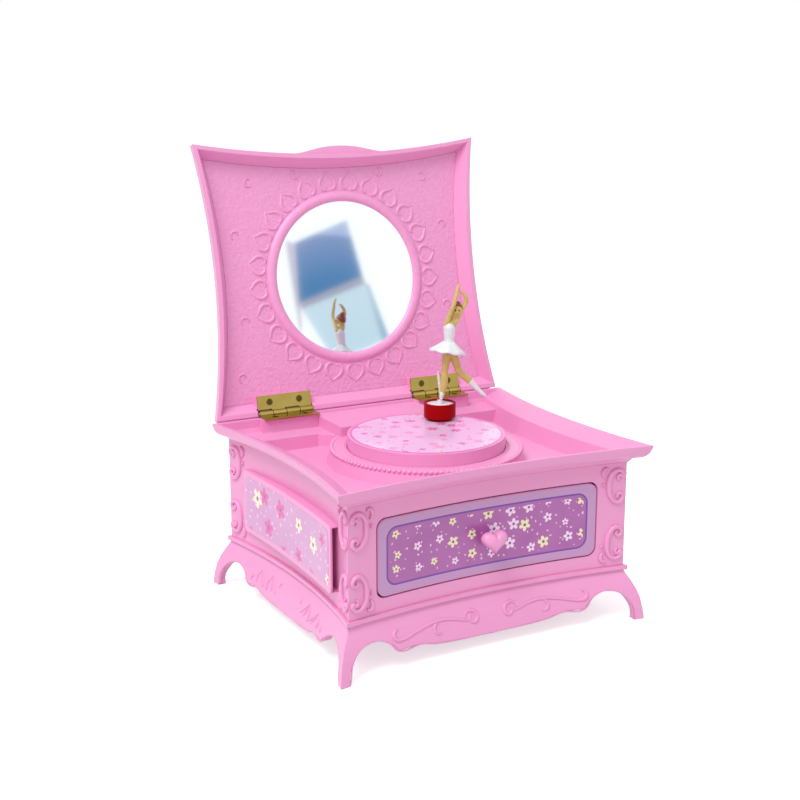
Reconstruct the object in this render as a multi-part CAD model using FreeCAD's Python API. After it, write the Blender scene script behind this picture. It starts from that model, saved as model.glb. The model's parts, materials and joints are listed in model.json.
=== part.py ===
import FreeCAD, Part
import os
from math import cos, pi, radians, sin, sqrt

V = FreeCAD.Vector
X, Y, Z = V(1, 0, 0), V(0, 1, 0), V(0, 0, 1)

# Wind-up music box with a mirror lid, a drawer and a dancer on a magnet.
# Millimetres. Origin on the table under the stage axis, +X right, +Y back, +Z up.

# Cabinet plan: three sides bow inwards, the back is straight.
front_half_width = 67.0
back_half_width = 69.5
front_depth = 57.0
back_depth = 60.5
wall_bow = 6.0
wall = 2.5
fit_gap = 0.3

# Heights of the cabinet.
skirt_height = 24.0
shell_height = 47.0
cornice_height = 8.0
cornice_overhang = 7.8
shell_top = skirt_height + shell_height
lip_z = shell_top + cornice_height

# Base skirt and legs.
skirt_wall = 5.0
foot_flare = 7.2
bead_height = 1.8
bead_proud = 1.4
apron_z = 8.2
apron_drop = 2.0
apron_crest = 0.4
arch_top_z = 14.4
leg_foot = 4.5
arch_width = 12.5
notch_from_corner = 21.5

# Bottom plate and its screws.
plate_thickness = 2.0
plate_top = skirt_height + plate_thickness
boss_radius = 4.5
boss_height = 12.0
boss_inset_x = 10.8
boss_inset_y = 11.0
base_screw_radius = 1.3
base_screw_length = 9.0
rib_half = 1.0

# Tray under the lid.
tray_floor_thickness = 2.0
tray_depth = 12.0
tray_wall = 1.8
lip_width = 1.6
rim_slope_width = 8.5
rim_slope_drop = 4.0
shelf_front = back_depth - 18.5
shelf_below_lip = 6.0
platform_half_width = 27.0
platform_below_lip = 1.0
platform_front = back_depth - 30.5
rear_rim = 2.2
tray_floor_z = lip_z - tray_depth
tray_under_z = tray_floor_z - tray_floor_thickness

# Stage.
stage_radius = 35.0
stage_slit = 0.25
stage_top_z = lip_z + 0.1
stage_skin = 1.2
stage_wall = 1.8
ring_radius = 42.0
ring_foot_radius = 44.0
ring_height = 6.5
label_thickness = 0.12
stage_label_margin = 1.2

# Drawer.
drawer_half_width = front_half_width - 14.0
drawer_bottom_z = 30.6
drawer_front_height = 32.4
drawer_corner = 4.0
drawer_gap = 0.6
drawer_front_thickness = 3.0
drawer_box_margin = 3.0
drawer_box_height = 23.0
drawer_box_lift = 0.9
drawer_box_clearance = 1.3
drawer_wall = 1.6
drawer_label_margin = 0.3
glue_line = 0.03
rail_width = 5.0
rail_from_centre = drawer_half_width - 13.0
drawer_run_gap = 0.25

# Heart knob.
knob_half_width = 6.0
knob_drop = 0.8
knob_thickness = 5.0
knob_stem = 4.0
knob_stem_radius = 2.2
knob_screw_radius = 1.1
knob_screw_head = 2.4

# Side panels.
panel_front = -front_depth + 13.0
panel_back = back_depth - 13.5
panel_bottom_z = 31.0
panel_height = 29.0
panel_front_out = 1.2
panel_back_in = 0.7
panel_depth = 12.0
panel_bow = 2.0
panel_corner = 2.5
panel_label_margin = 2.5
panel_skin = 0.9
panel_slot_depth = 10.0
panel_slot_edge = 1.2

# Lid, drawn shut and then swung open about the hinge pin.
lid_open_angle = 101.0
lid_gap = 0.6
lid_rim_height = 4.4
lid_height = 14.0
lid_front_setback = 1.5
lid_corner_setback = 2.4
lid_behind_pin = 0.9
lid_wall = 2.2
lid_top = 3.2
attic_inset = 11.0
attic_top_inset = 18.0
liner_depth = 6.0
liner_thickness = 1.5
liner_inset = 6.0
liner_fit = 0.1
mirror_radius = 36.2
mirror_thickness = 1.0
mirror_ring_width = 5.0
mirror_ring_height = 1.5
mirror_from_hinge = 60.4
tab_half_width = 26.0
tab_out = 3.9
tab_thickness = 3.6
tab_behind_rim = 4.8
tab_root = 4.0
tab_overlap = 1.0

# Hinges.
pin_y = back_depth + 0.8
pin_above_lip = 1.2
pin_radius = 0.8
pin_running_gap = 0.05
knuckle_radius = 1.6
knuckle_count = 4
knuckle_gap = 0.4
leaf_length = 27.0
leaf_depth = 8.5
leaf_thickness = 0.8
leaf_from_centre = back_half_width - 29.0
leaf_relief = 0.4
leaf_above_pin = 0.4
hinge_block_depth = 6.0
hinge_block_margin = 1.0
hinge_notch = 0.5
leaf_screw_pitch = 15.0
leaf_screw_radius = 0.9
leaf_screw_head = 1.6
leaf_screw_length = 4.0
cross_slot = 0.4

# Movement.
key_axis_y = 16.5
bedplate_thickness = 2.0
bedplate_x = (-17.0, 54.0)
bedplate_y = (-3.0, 38.0)
bed_corner = 3.0
arbor_radius = 1.5
running_gap = 0.05
housing_radius = 14.6
housing_height = 12.0
housing_wall = 1.2
spring_turns = 6
spring_band = 0.4
spring_height = 9.0
wheel_gap = 0.4
wheel_width = 2.0
great_teeth = 48
gear_module = 0.55
arm_teeth = 12
crown_radius = 11.0
crown_width = 2.0
crown_height = 1.1
crown_tooth = 0.5
pinion_teeth = 16
pinion_width = 1.6
mesh_depth = 0.6
cylinder_radius = 6.5
cylinder_length = 26.0
cylinder_wall = 1.0
cylinder_start = 17.0
cylinder_arbor_radius = 1.0
pin_height = 0.5
comb_pin_radius = 0.2
pins_per_note = 3
note_count = 18
worm_wheel_teeth = 30
worm_wheel_module = 0.6
worm_wheel_width = 1.2
worm_radius = 1.6
worm_thread = 0.9
worm_turns = 5
worm_reach = 0.5
governor_shaft_radius = 0.6
fan_radius = 5.5
fan_height = 5.0
fan_blade = 0.5
fan_lift = 3.2
bracket_thickness = 1.2
bracket_width = 8.0
bracket_above_axis = 4.0
comb_length = 13.0
comb_thickness = 1.0
comb_tooth_gap = 0.35
comb_clearance = 0.2
comb_grip = 5.0
comb_screw_radius = 1.0
bed_screw_radius = 1.2
bed_screw_length = 3.6
comb_y = key_axis_y - cylinder_radius - pin_height - comb_clearance - comb_length

# Winding key under the base.
key_wing_half = 12.0
key_wing_height = 9.0
key_wing_thickness = 2.4
key_hub_radius = 3.2
key_hub_height = 9.0
key_clearance = 4.0
key_hole_gap = 2.0

# Arm that carries the drive magnet round under the stage.
arm_shaft_radius = 1.25
arm_pinion_width = 2.4
bush_radius = 3.0
bush_flange = 4.2
bush_flange_thickness = 0.8
orbit_radius = 25.0
orbit_angle = 46.0
magnet_arm_thickness = 2.0
arm_hub_radius = 4.0
magnet_radius = 4.5
magnet_height = 2.0
magnet_gap = 0.5

# Dancer on its cup.
cup_gap = 0.12
cup_radius = 7.3
cup_height = 6.6
cup_foot_radius = 5.6
cup_foot_height = 1.2
cup_wall = 1.0
cup_magnet_radius = 5.0
cup_magnet_height = 2.0
insert_height = 3.4
peg_radius = 1.2
peg_above_cup = 1.0
figure_unit = 1.0
foot_radius = 0.9
skirt_tilt = 7.0
hem_radius = 8.7
hem_height = 6.0
hem_thickness = 0.7
waist_radius = 2.3
view_side = radians(-28.57)

parts = {}


def outline(fx, bx, fy, by, z):
    """Plan at a height from its corners: the front and the sides bow inwards, the back is straight."""
    fl, fr, br, bl = V(-fx, fy, z), V(fx, fy, z), V(bx, by, z), V(-bx, by, z)
    side_x, side_y = (fx + bx) / 2 - wall_bow, (fy + by) / 2
    return Part.Wire([
        Part.Arc(fl, V(0, fy + wall_bow, z), fr).toShape(),
        Part.Arc(fr, V(side_x, side_y, z), br).toShape(),
        Part.LineSegment(br, bl).toShape(),
        Part.Arc(bl, V(-side_x, side_y, z), fl).toShape(),
    ])


def cabinet_plan(inset, z):
    """Cabinet moved in by inset; a negative one overhangs on three sides only."""
    return outline(front_half_width - inset, back_half_width - inset, -front_depth + inset,
                   back_depth - max(inset, 0), z)


def skirt_plan(inset, z):
    """Cabinet moved in or out on all four sides."""
    return outline(front_half_width - inset, back_half_width - inset, -front_depth + inset,
                   back_depth - inset, z)


def lid_plan(inset, z):
    """Shut lid, just inside the cornice, its back standing behind the hinge pin."""
    edge = cornice_overhang - lid_front_setback - inset
    return outline(front_half_width + edge, back_half_width + cornice_overhang - lid_corner_setback - inset,
                   -front_depth - edge, pin_y + lid_behind_pin - inset, z)


def loft(levels, plan=cabinet_plan):
    """Solid through plans given as (inset, height)."""
    return Part.makeLoft([plan(inset, z) for inset, z in levels], True, True)


def block(x0, x1, y0, y1, z0, z1):
    return Part.makeBox(x1 - x0, y1 - y0, z1 - z0, V(x0, y0, z0))


def rod(radius, x, y, z0, z1):
    return Part.makeCylinder(radius, z1 - z0, V(x, y, z0), Z)


def tube(outer, inner, x, y, z0, z1):
    return rod(outer, x, y, z0, z1).cut(rod(inner, x, y, z0, z1))


def fused(first, *others):
    return first.fuse(list(others)).removeSplitter()


def prism(points, direction):
    return Part.Face(Part.makePolygon(points + points[:1])).extrude(direction)


def rounded_rect(half_width, z0, z1, corner, y0, y1):
    """Upright slab with rounded corners, from y0 to y1."""
    slab = block(-half_width, half_width, y0, y1, z0, z1)
    along = [e for e in slab.Edges if abs(e.tangentAt(e.FirstParameter).y) > 0.99]
    return slab.makeFillet(corner, along)


def countersunk(shank, head, length):
    """Screw on Z with its head flush with z = 0 and its shank downwards, and the hole that it fills."""
    cone = Part.makeCone(shank, head, head - shank, V(0, 0, shank - head), Z)
    hole = fused(cone, rod(shank, 0, 0, -length, shank - head))
    screw = hole
    for turn in (0, 90):
        slot = block(-head * 0.65, head * 0.65, -cross_slot / 2, cross_slot / 2, -cross_slot, cross_slot)
        slot.rotate(V(0, 0, 0), Z, turn)
        screw = screw.cut(slot)
    return screw, hole


def pan_screw(x, y, seat_z, shank, head, length):
    """Screw whose head hangs under seat_z and whose shank points up."""
    body = fused(rod(head, x, y, seat_z - head * 0.6, seat_z), rod(shank, x, y, seat_z, seat_z + length))
    slot = block(x - head, x + head, y - cross_slot, y + cross_slot,
                 seat_z - head * 0.6, seat_z - head * 0.6 + cross_slot)
    return body.cut(slot)


def spur(teeth, root, tip, share, width, phase=0.0):
    """Toothed disc on Z from z = 0; share is the tooth's part of the pitch at its tip."""
    points = []
    pitch = 2 * pi / teeth
    for i in range(teeth):
        middle = phase + i * pitch
        for radius, side in ((root, -0.8), (tip, -0.5), (tip, 0.5), (root, 0.8)):
            angle = middle + side * share * pitch
            points.append(V(radius * cos(angle), radius * sin(angle), 0))
    return prism(points, V(0, 0, width))


# Cabinet shell: a bowed wall with the drawer opening and four screw bosses.
shell = loft([(0, skirt_height), (0, shell_top)]).cut(loft([(wall, skirt_height), (wall, shell_top)]))
opening_z0 = drawer_bottom_z - drawer_gap
opening_z1 = drawer_bottom_z + drawer_front_height + drawer_gap
shell = shell.cut(rounded_rect(drawer_half_width + drawer_gap, opening_z0, opening_z1,
                               drawer_corner, -front_depth - wall, -front_depth / 2))
boss_points = [(side * (half - boss_inset_x), y) for side in (-1, 1)
               for half, y in ((front_half_width, -front_depth + boss_inset_y),
                               (back_half_width, back_depth - boss_inset_y))]
inner_room = loft([(wall / 2, plate_top), (wall / 2, shell_top)])
base_screws = []
for x, y in boss_points:
    boss = rod(boss_radius, x, y, plate_top, plate_top + boss_height)
    outer = x + (2 * boss_inset_x if x > 0 else -2 * boss_inset_x)
    rib = block(min(x, outer), max(x, outer), y - rib_half, y + rib_half, plate_top,
                plate_top + boss_height)
    shell = shell.fuse([boss, rib.common(inner_room)])
    base_screws.append(pan_screw(x, y, skirt_height, base_screw_radius, base_screw_radius * 2.2,
                                 base_screw_length))
for screw in base_screws:
    shell = shell.cut(screw)
parts["cabinet_shell"] = shell.removeSplitter()

# Base skirt: flared legs at the corners, scalloped aprons between them.
leg_levels = ((0.0, 1.0), (0.0, 0.93), (0.15, 0.833), (0.38, 0.708), (0.58, 0.583), (0.78, 0.417),
              (0.92, 0.208), (1.0, 0.0))
skirt_out = [(-foot_flare * f, skirt_height * h) for f, h in leg_levels]
skirt_in = [(skirt_wall - foot_flare * f, skirt_height * h) for f, h in leg_levels]


def apron_cut(half, depth):
    """Space under an apron whose corners are at half, from y = 0 forwards by depth."""
    foot = half + foot_flare - leg_foot
    notch = half - notch_from_corner
    top = notch + arch_width
    crest, sag = notch * 0.77, notch * 0.6
    sag_z = apron_z - apron_drop / 2
    left = [
        Part.Arc(V(-foot, 0, 0), V(-top - (foot - top) * 0.72, 0, arch_top_z * 0.73),
                 V(-top, 0, arch_top_z)),
        Part.Arc(V(-top, 0, arch_top_z), V(-notch - arch_width * 0.4, 0, arch_top_z * 0.88),
                 V(-notch, 0, apron_z)),
        Part.Arc(V(-notch, 0, apron_z), V(-crest, 0, apron_z + apron_crest), V(-sag, 0, sag_z)),
    ]
    middle = Part.Arc(V(-sag, 0, sag_z), V(0, 0, apron_z - apron_drop), V(sag, 0, sag_z))
    edges = [arc.toShape() for arc in left] + [middle.toShape()]
    edges += [arc.toShape().mirror(V(0, 0, 0), X) for arc in left[::-1]]
    edges += [Part.makeLine(V(foot, 0, 0), V(foot, 0, -1)), Part.makeLine(V(foot, 0, -1), V(-foot, 0, -1)),
              Part.makeLine(V(-foot, 0, -1), V(-foot, 0, 0))]
    return Part.Face(Part.Wire(Part.__sortEdges__(edges))).extrude(V(0, -depth, 0))


apron_reach = wall_bow + skirt_wall
cut_depth = apron_reach + 2 * foot_flare
middle_y = (back_depth - front_depth) / 2
side_half = (front_depth + back_depth) / 2
skirt = loft(skirt_out, skirt_plan).cut(loft(skirt_in, skirt_plan))
for half, start, turn, shift in ((front_half_width, front_depth, 0, 0),
                                 (back_half_width, back_depth, 180, 0),
                                 (side_half, front_half_width, 90, middle_y),
                                 (side_half, front_half_width, -90, middle_y)):
    space = apron_cut(half, cut_depth)
    space.translate(V(0, apron_reach - start, 0))
    space.rotate(V(0, 0, 0), Z, turn)
    space.translate(V(0, shift, 0))
    skirt = skirt.cut(space)
bead = loft([(-bead_proud, skirt_height - bead_height), (-bead_proud, skirt_height)], skirt_plan)
bead = bead.cut(loft([(skirt_wall, 0), (skirt_wall, skirt_height)], skirt_plan))
parts["base_skirt"] = fused(skirt, bead)

# Bottom plate on the ledge of the skirt, inside the shell.
key_hole_radius = key_hub_radius + key_hole_gap
plate = loft([(wall + fit_gap, skirt_height), (wall + fit_gap, plate_top)])
plate = plate.cut(rod(key_hole_radius, 0, key_axis_y, skirt_height, plate_top))
for screw in base_screws:
    plate = plate.cut(screw)
parts["base_screws"] = Part.makeCompound(base_screws)

# Top tray: cornice, sloped rim, pocket, rear shelf, platform, hinge blocks and stage ring.
cornice_levels = ((0.05, 0.0), (0.15, 0.125), (0.24, 0.25), (0.59, 0.31), (0.74, 0.41), (0.87, 0.575),
                  (0.96, 0.81), (1.0, 0.95), (1.0, 1.0))
cornice = loft([(-cornice_overhang * f, shell_top + cornice_height * h) for f, h in cornice_levels])
tub = loft([(wall + fit_gap, tray_under_z), (wall + fit_gap, shell_top)])
pocket_inset = wall + fit_gap + tray_wall
slope_inset = -cornice_overhang + lip_width + rim_slope_width
pocket = loft([(pocket_inset, tray_floor_z), (slope_inset, lip_z - rim_slope_drop),
               (-cornice_overhang + lip_width, lip_z)])
back_limit = block(-2 * back_half_width, 2 * back_half_width, -2 * front_depth, back_depth - rear_rim,
                   tray_floor_z, lip_z)
pocket = pocket.common(back_limit)
shelf_z = lip_z - shelf_below_lip
platform_z = lip_z - platform_below_lip
pin_z = lip_z + pin_above_lip
wide = back_half_width
fill = [
    block(-wide, wide, shelf_front, back_depth, tray_floor_z, shelf_z),
    block(-platform_half_width, platform_half_width, platform_front, back_depth, tray_floor_z, platform_z),
]
chamfer = (shelf_front - platform_front) / 2
for side in (-1, 1):
    corner = side * platform_half_width
    fill.append(prism([V(corner, shelf_front, tray_floor_z),
                       V(corner + side * chamfer, shelf_front, tray_floor_z),
                       V(corner, shelf_front - chamfer, tray_floor_z)], V(0, 0, shelf_z - tray_floor_z)))
    x0 = side * leaf_from_centre - leaf_length / 2 - hinge_block_margin
    x1 = side * leaf_from_centre + leaf_length / 2 + hinge_block_margin
    fill.append(block(x0, x1, back_depth - hinge_block_depth, back_depth, tray_floor_z, lip_z))
tray = fused(cornice, tub).cut(pocket)
tray = tray.fuse([f.common(pocket) for f in fill])
ring = Part.makeCone(ring_foot_radius, ring_radius, ring_height, V(0, 0, tray_floor_z), Z)
tray = tray.fuse(ring.common(pocket)).cut(rod(stage_radius + stage_slit, 0, 0, tray_floor_z, lip_z + 1))
tray = tray.cut(rod(bush_radius, 0, 0, tray_under_z, tray_floor_z))
under_depth = shelf_z - tray_floor_thickness - tray_under_z
tray = tray.cut(block(-wide * 0.8, wide * 0.8, ring_foot_radius + 1, back_depth - hinge_block_depth,
                      tray_under_z, tray_under_z + under_depth))
for side in (-1, 1):
    x0 = side * leaf_from_centre - leaf_length / 2 - hinge_notch
    tray = tray.cut(block(x0, x0 + leaf_length + 2 * hinge_notch, pin_y - knuckle_radius - leaf_relief,
                          back_depth + 1, pin_z - knuckle_radius - leaf_relief, lip_z))

# Stage cap with its label.
stage = rod(stage_radius, 0, 0, tray_floor_z, stage_top_z)
stage = stage.cut(rod(stage_radius - stage_wall, 0, 0, tray_floor_z, stage_top_z - stage_skin))
parts["stage_disc"] = stage
label_z = stage_top_z + label_thickness
parts["stage_label"] = rod(stage_radius - stage_label_margin, 0, 0, stage_top_z, label_z)

# Side panels with curved labels.
shell_body = loft([(0, skirt_height), (0, shell_top)])
panel_mid_y = (panel_front + panel_back) / 2


def wall_line(y):
    """Half width of the straight line between a side wall's corners."""
    share = (y + front_depth) / (front_depth + back_depth)
    return front_half_width + (back_half_width - front_half_width) * share


def bowed_side(offset, bow, depth, z0, z1, y0, y1):
    """Slab along a side wall, moved out by offset, whose outer face bows in towards x = 0."""
    front_x, back_x = wall_line(y0) + panel_front_out + offset, wall_line(y1) - panel_back_in + offset
    a, b = V(front_x, y0, z0), V(back_x, y1, z0)
    arc = Part.Arc(a, V((front_x + back_x) / 2 - bow, (y0 + y1) / 2, z0), b).toShape()
    c, d = V(back_x - depth, y1, z0), V(front_x - depth, y0, z0)
    wire = Part.Wire([arc, Part.makeLine(b, c), Part.makeLine(c, d), Part.makeLine(d, a)])
    return Part.Face(wire).extrude(V(0, 0, z1 - z0))


def panel_window(margin):
    """Rounded block that trims a panel to its outline, less a margin."""
    half = (panel_back - panel_front) / 2 - margin
    slab = rounded_rect(half, panel_bottom_z + margin, panel_bottom_z + panel_height - margin,
                        panel_corner, -2 * wide, 2 * wide)
    slab.rotate(V(0, 0, 0), Z, 90)
    slab.translate(V(0, panel_mid_y, 0))
    return slab


panel_block = bowed_side(0, panel_bow, panel_depth, panel_bottom_z,
                         panel_bottom_z + panel_height, panel_front, panel_back)
slot = bowed_side(-panel_skin, panel_bow, panel_depth, panel_bottom_z + panel_slot_edge,
                  panel_bottom_z + panel_height - panel_slot_edge, panel_front, panel_back)
slot = slot.common(block(0, 2 * wide, panel_front, panel_front + panel_slot_depth, 0, lip_z))
panel = panel_block.common(panel_window(0)).cut([shell_body, slot])
sheet = bowed_side(label_thickness, panel_bow, panel_depth, panel_bottom_z,
                   panel_bottom_z + panel_height, panel_front, panel_back)
sheet = sheet.cut(panel_block).common(panel_window(panel_label_margin))
parts["side_panel_right"] = panel
parts["side_label_right"] = sheet
parts["side_panel_left"] = panel.mirror(V(0, 0, 0), X)
parts["side_label_left"] = sheet.mirror(V(0, 0, 0), X)

# Drawer: concave front in line with the wall, tray, label and heart knob.
def bowed_front(offset, depth, z0, z1):
    """Slab that follows the front wall, moved out by offset."""
    y_end = -front_depth - offset
    a, b = V(-front_half_width, y_end, z0), V(front_half_width, y_end, z0)
    arc = Part.Arc(a, V(0, y_end + wall_bow, z0), b).toShape()
    c, d = b + V(0, depth, 0), a + V(0, depth, 0)
    back = Part.Arc(c, V(0, y_end + wall_bow + depth, z0), d).toShape()
    wire = Part.Wire([arc, Part.makeLine(b, c), back, Part.makeLine(d, a)])
    return Part.Face(wire).extrude(V(0, 0, z1 - z0))


front_top_z = drawer_bottom_z + drawer_front_height
knob_z = (drawer_bottom_z + front_top_z) / 2 - knob_drop
face_y = -front_depth + wall_bow
front_window = rounded_rect(drawer_half_width, drawer_bottom_z, front_top_z, drawer_corner,
                            -front_depth - wall, 0)
drawer_front = bowed_front(0, drawer_front_thickness, drawer_bottom_z, front_top_z).common(front_window)
label_window = rounded_rect(drawer_half_width - drawer_label_margin, drawer_bottom_z + drawer_label_margin,
                            front_top_z - drawer_label_margin, drawer_corner, -front_depth - wall, 0)
drawer_label = bowed_front(glue_line + label_thickness, label_thickness, drawer_bottom_z,
                           front_top_z).common(label_window)
stem = Part.makeCylinder(knob_stem_radius, knob_stem, V(0, face_y, knob_z), V(0, -1, 0))
lobe, side_z, tip_z = 0.85 * knob_half_width, 0.28 * knob_half_width, -0.88 * knob_half_width
notch_z = 0.42 * knob_half_width
heart_y = face_y - knob_stem


def heart_half(side):
    notch, shoulder = V(0, heart_y, knob_z + notch_z), V(side * knob_half_width, heart_y, knob_z + side_z)
    tip = V(0, heart_y, knob_z + tip_z)
    crest = V(side * 0.55 * knob_half_width, heart_y, knob_z + lobe)
    flank = V(side * 0.66 * knob_half_width, heart_y, knob_z - 0.42 * knob_half_width)
    return [Part.Arc(notch, crest, shoulder).toShape(), Part.Arc(shoulder, flank, tip).toShape()]


heart_wire = Part.Wire(Part.__sortEdges__(heart_half(1) + heart_half(-1)))
heart = Part.Face(heart_wire).extrude(V(0, -knob_thickness, 0))
rims = [e for e in heart.Edges if abs(e.CenterOfMass.y - heart_y + knob_thickness) < 0.01]
heart = heart.makeFillet(knob_thickness * 0.3, rims)
knob = fused(heart, stem)
box_half = drawer_half_width - drawer_box_margin
box_z0 = drawer_bottom_z + drawer_box_lift
box_y0 = face_y + drawer_front_thickness
box_y1 = comb_y - drawer_box_clearance
# The tray's front follows the back of the drawer front.
drawer_box = block(-box_half, box_half, -front_depth, box_y1, box_z0, box_z0 + drawer_box_height)
drawer_box = drawer_box.cut(bowed_front(front_depth, front_depth + drawer_front_thickness, box_z0,
                                        box_z0 + drawer_box_height))
room = block(-box_half + drawer_wall, box_half - drawer_wall, box_y0 + drawer_wall, box_y1 - drawer_wall,
             box_z0 + drawer_wall, box_z0 + drawer_box_height)
drawer_box = drawer_box.cut(room)
screw_length = drawer_front_thickness + drawer_wall + knob_stem + knob_thickness / 2
knob_screw = pan_screw(0, 0, 0, knob_screw_radius, knob_screw_head, screw_length)
knob_screw.rotate(V(0, 0, 0), X, 90)
knob_screw.translate(V(0, box_y0 + drawer_wall, knob_z))
parts["drawer_tray"] = drawer_box.cut(knob_screw)
parts["drawer_front"] = drawer_front.cut(knob_screw)
parts["drawer_label"] = drawer_label.cut(
    Part.makeCylinder(knob_stem_radius, front_depth, V(0, 0, knob_z), V(0, -1, 0)))
parts["drawer_knob"] = knob.cut(knob_screw)
parts["knob_screw"] = knob_screw
for side, name in ((-1, "left"), (1, "right")):
    x0 = side * rail_from_centre - rail_width / 2
    parts["drawer_rail_" + name] = block(x0, x0 + rail_width, -front_depth + wall_bow + wall, box_y1,
                                         plate_top, box_z0 - drawer_run_gap)


# Lid: shell, liner with the mirror ring and hinge pads, mirror; drawn shut.
rim_z = lip_z + lid_gap
face_z = rim_z + liner_depth
ledge_z = face_z + liner_thickness
step_z = rim_z + lid_rim_height
crown_z = rim_z + lid_height
outside = loft([(0, rim_z), (0.4, step_z), (2.6, step_z + 0.6), (6.0, step_z + 4.4), (14.0, crown_z - 2.2),
                (30.0, crown_z)], lid_plan)
well = loft([(lid_wall, rim_z), (liner_inset, face_z), (liner_inset, ledge_z)], lid_plan)
attic = loft([(attic_inset, ledge_z), (attic_top_inset, crown_z - lid_top)], lid_plan)
lid_shell = outside.cut([well, attic])

# Finger tab: a low dome in front of the lid's bowed edge.
edge_half = front_half_width + cornice_overhang - lid_front_setback
edge_y = -front_depth - cornice_overhang + lid_front_setback + wall_bow
tab_z = rim_z + tab_behind_rim - tab_thickness
tab_points = []
for share, out in ((-1, 0), (-0.77, 0.15), (-0.46, 0.67), (0, 1), (0.46, 0.67), (0.77, 0.15), (1, 0)):
    x = tab_half_width * share
    tab_points.append(V(x, edge_y - wall_bow * (x / edge_half) ** 2 - tab_out * out, tab_z))
dome = Part.BSplineCurve()
dome.interpolate(tab_points)
root_y = edge_y + tab_root
roots = [V(tab_half_width, root_y, tab_z), V(-tab_half_width, root_y, tab_z)]
tab = Part.Face(Part.Wire([dome.toShape(), Part.makeLine(tab_points[-1], roots[0]),
                           Part.makeLine(roots[0], roots[1]), Part.makeLine(roots[1], tab_points[0])]))
tab = tab.extrude(V(0, 0, tab_thickness))
tab = tab.cut(loft([(tab_overlap, rim_z), (tab_overlap, crown_z)], lid_plan))
lid_shell = fused(lid_shell, tab)

# Liner with a half-round ring about the mirror.
mirror_y = pin_y - mirror_from_hinge
liner = loft([(liner_inset + liner_fit, face_z), (liner_inset + liner_fit, ledge_z)], lid_plan)
ring_inner, ring_outer = V(mirror_radius, 0, face_z), V(mirror_radius + mirror_ring_width, 0, face_z)
ring_crest = (ring_inner + ring_outer) / 2 - Z * mirror_ring_height
ring_section = Part.Face(Part.Wire([Part.Arc(ring_inner, ring_crest, ring_outer).toShape(),
                                    Part.makeLine(ring_outer, ring_inner)]))
mirror_ring = ring_section.revolve(V(0, 0, 0), Z, 360)
mirror_ring.translate(V(0, mirror_y, 0))
mirror = rod(mirror_radius, 0, mirror_y, face_z, face_z + mirror_thickness)
liner = liner.fuse(mirror_ring).cut(mirror)

# Hinges: leaves with alternate knuckles round a pin, countersunk screws.
leaf_z = lip_z
upper_z = pin_z + leaf_above_pin
segment = leaf_length / knuckle_count
plate_back = pin_y - knuckle_radius - leaf_relief
plate_front = pin_y - leaf_depth


def hinge_leaf(centre, z0, first, bore):
    """Leaf plate from z0 with every second knuckle, starting with number first."""
    start = centre - leaf_length / 2
    leaf = block(start, start + leaf_length, plate_front, plate_back, z0, z0 + leaf_thickness)
    bored = []
    for i in range(first, knuckle_count, 2):
        x0 = start + i * segment + knuckle_gap / 2
        width = segment - knuckle_gap
        barrel = Part.makeCylinder(knuckle_radius, width, V(x0, pin_y, pin_z), X)
        arm = block(x0, x0 + width, plate_back - 0.1, pin_y, z0, z0 + leaf_thickness)
        leaf = leaf.fuse([barrel, arm])
        bored.append(Part.makeCylinder(bore, width, V(x0, pin_y, pin_z), X))
    return leaf.cut(bored).removeSplitter()


def swung(shape):
    """A lid piece turned from shut to open."""
    opened = shape.copy()
    opened.rotate(V(0, pin_y, pin_z), X, -lid_open_angle)
    return opened


lower_screws, upper_screws = [], []
screw_y = (plate_front + plate_back) / 2
for side, name in ((-1, "left"), (1, "right")):
    centre = side * leaf_from_centre
    start = centre - leaf_length / 2
    lower = hinge_leaf(centre, leaf_z, 0, pin_radius)
    upper = hinge_leaf(centre, upper_z, 1, pin_radius + pin_running_gap)
    notches = [
        block(start - hinge_notch, start + leaf_length + hinge_notch, plate_front - hinge_notch,
              pin_y + knuckle_radius, rim_z, upper_z + leaf_thickness),
        block(start - hinge_notch, start + leaf_length + hinge_notch, plate_back - hinge_notch,
              pin_y + knuckle_radius, rim_z, pin_z + knuckle_radius + leaf_relief),
    ]
    pad = block(start, start + leaf_length, plate_front, plate_back - hinge_notch, upper_z + leaf_thickness,
                face_z)
    lid_shell = lid_shell.cut(notches).fuse(pad)
    for shift in (-leaf_screw_pitch / 2, leaf_screw_pitch / 2):
        down, down_hole = countersunk(leaf_screw_radius, leaf_screw_head, leaf_screw_length)
        up, up_hole = down.copy(), down_hole.copy()
        for shape in (up, up_hole):
            shape.rotate(V(0, 0, 0), X, 180)
            shape.translate(V(centre + shift, screw_y, upper_z))
        for shape in (down, down_hole):
            shape.translate(V(centre + shift, screw_y, leaf_z + leaf_thickness))
        lower_screws.append(down)
        upper_screws.append(up)
        lower = lower.cut(down_hole)
        tray = tray.cut(down_hole)
        upper = upper.cut(up_hole)
        lid_shell = lid_shell.cut(up_hole)
    parts["lower_leaf_" + name] = lower
    parts["upper_leaf_" + name] = swung(upper)
    parts["hinge_pin_" + name] = Part.makeCylinder(pin_radius, leaf_length, V(start, pin_y, pin_z), X)
parts["top_tray"] = tray.removeSplitter()
parts["lower_hinge_screws"] = Part.makeCompound(lower_screws)
parts["upper_hinge_screws"] = Part.makeCompound([swung(s) for s in upper_screws])
parts["lid_shell"] = swung(lid_shell.removeSplitter())
parts["lid_liner"] = swung(liner.removeSplitter())
parts["mirror"] = swung(mirror)

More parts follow.
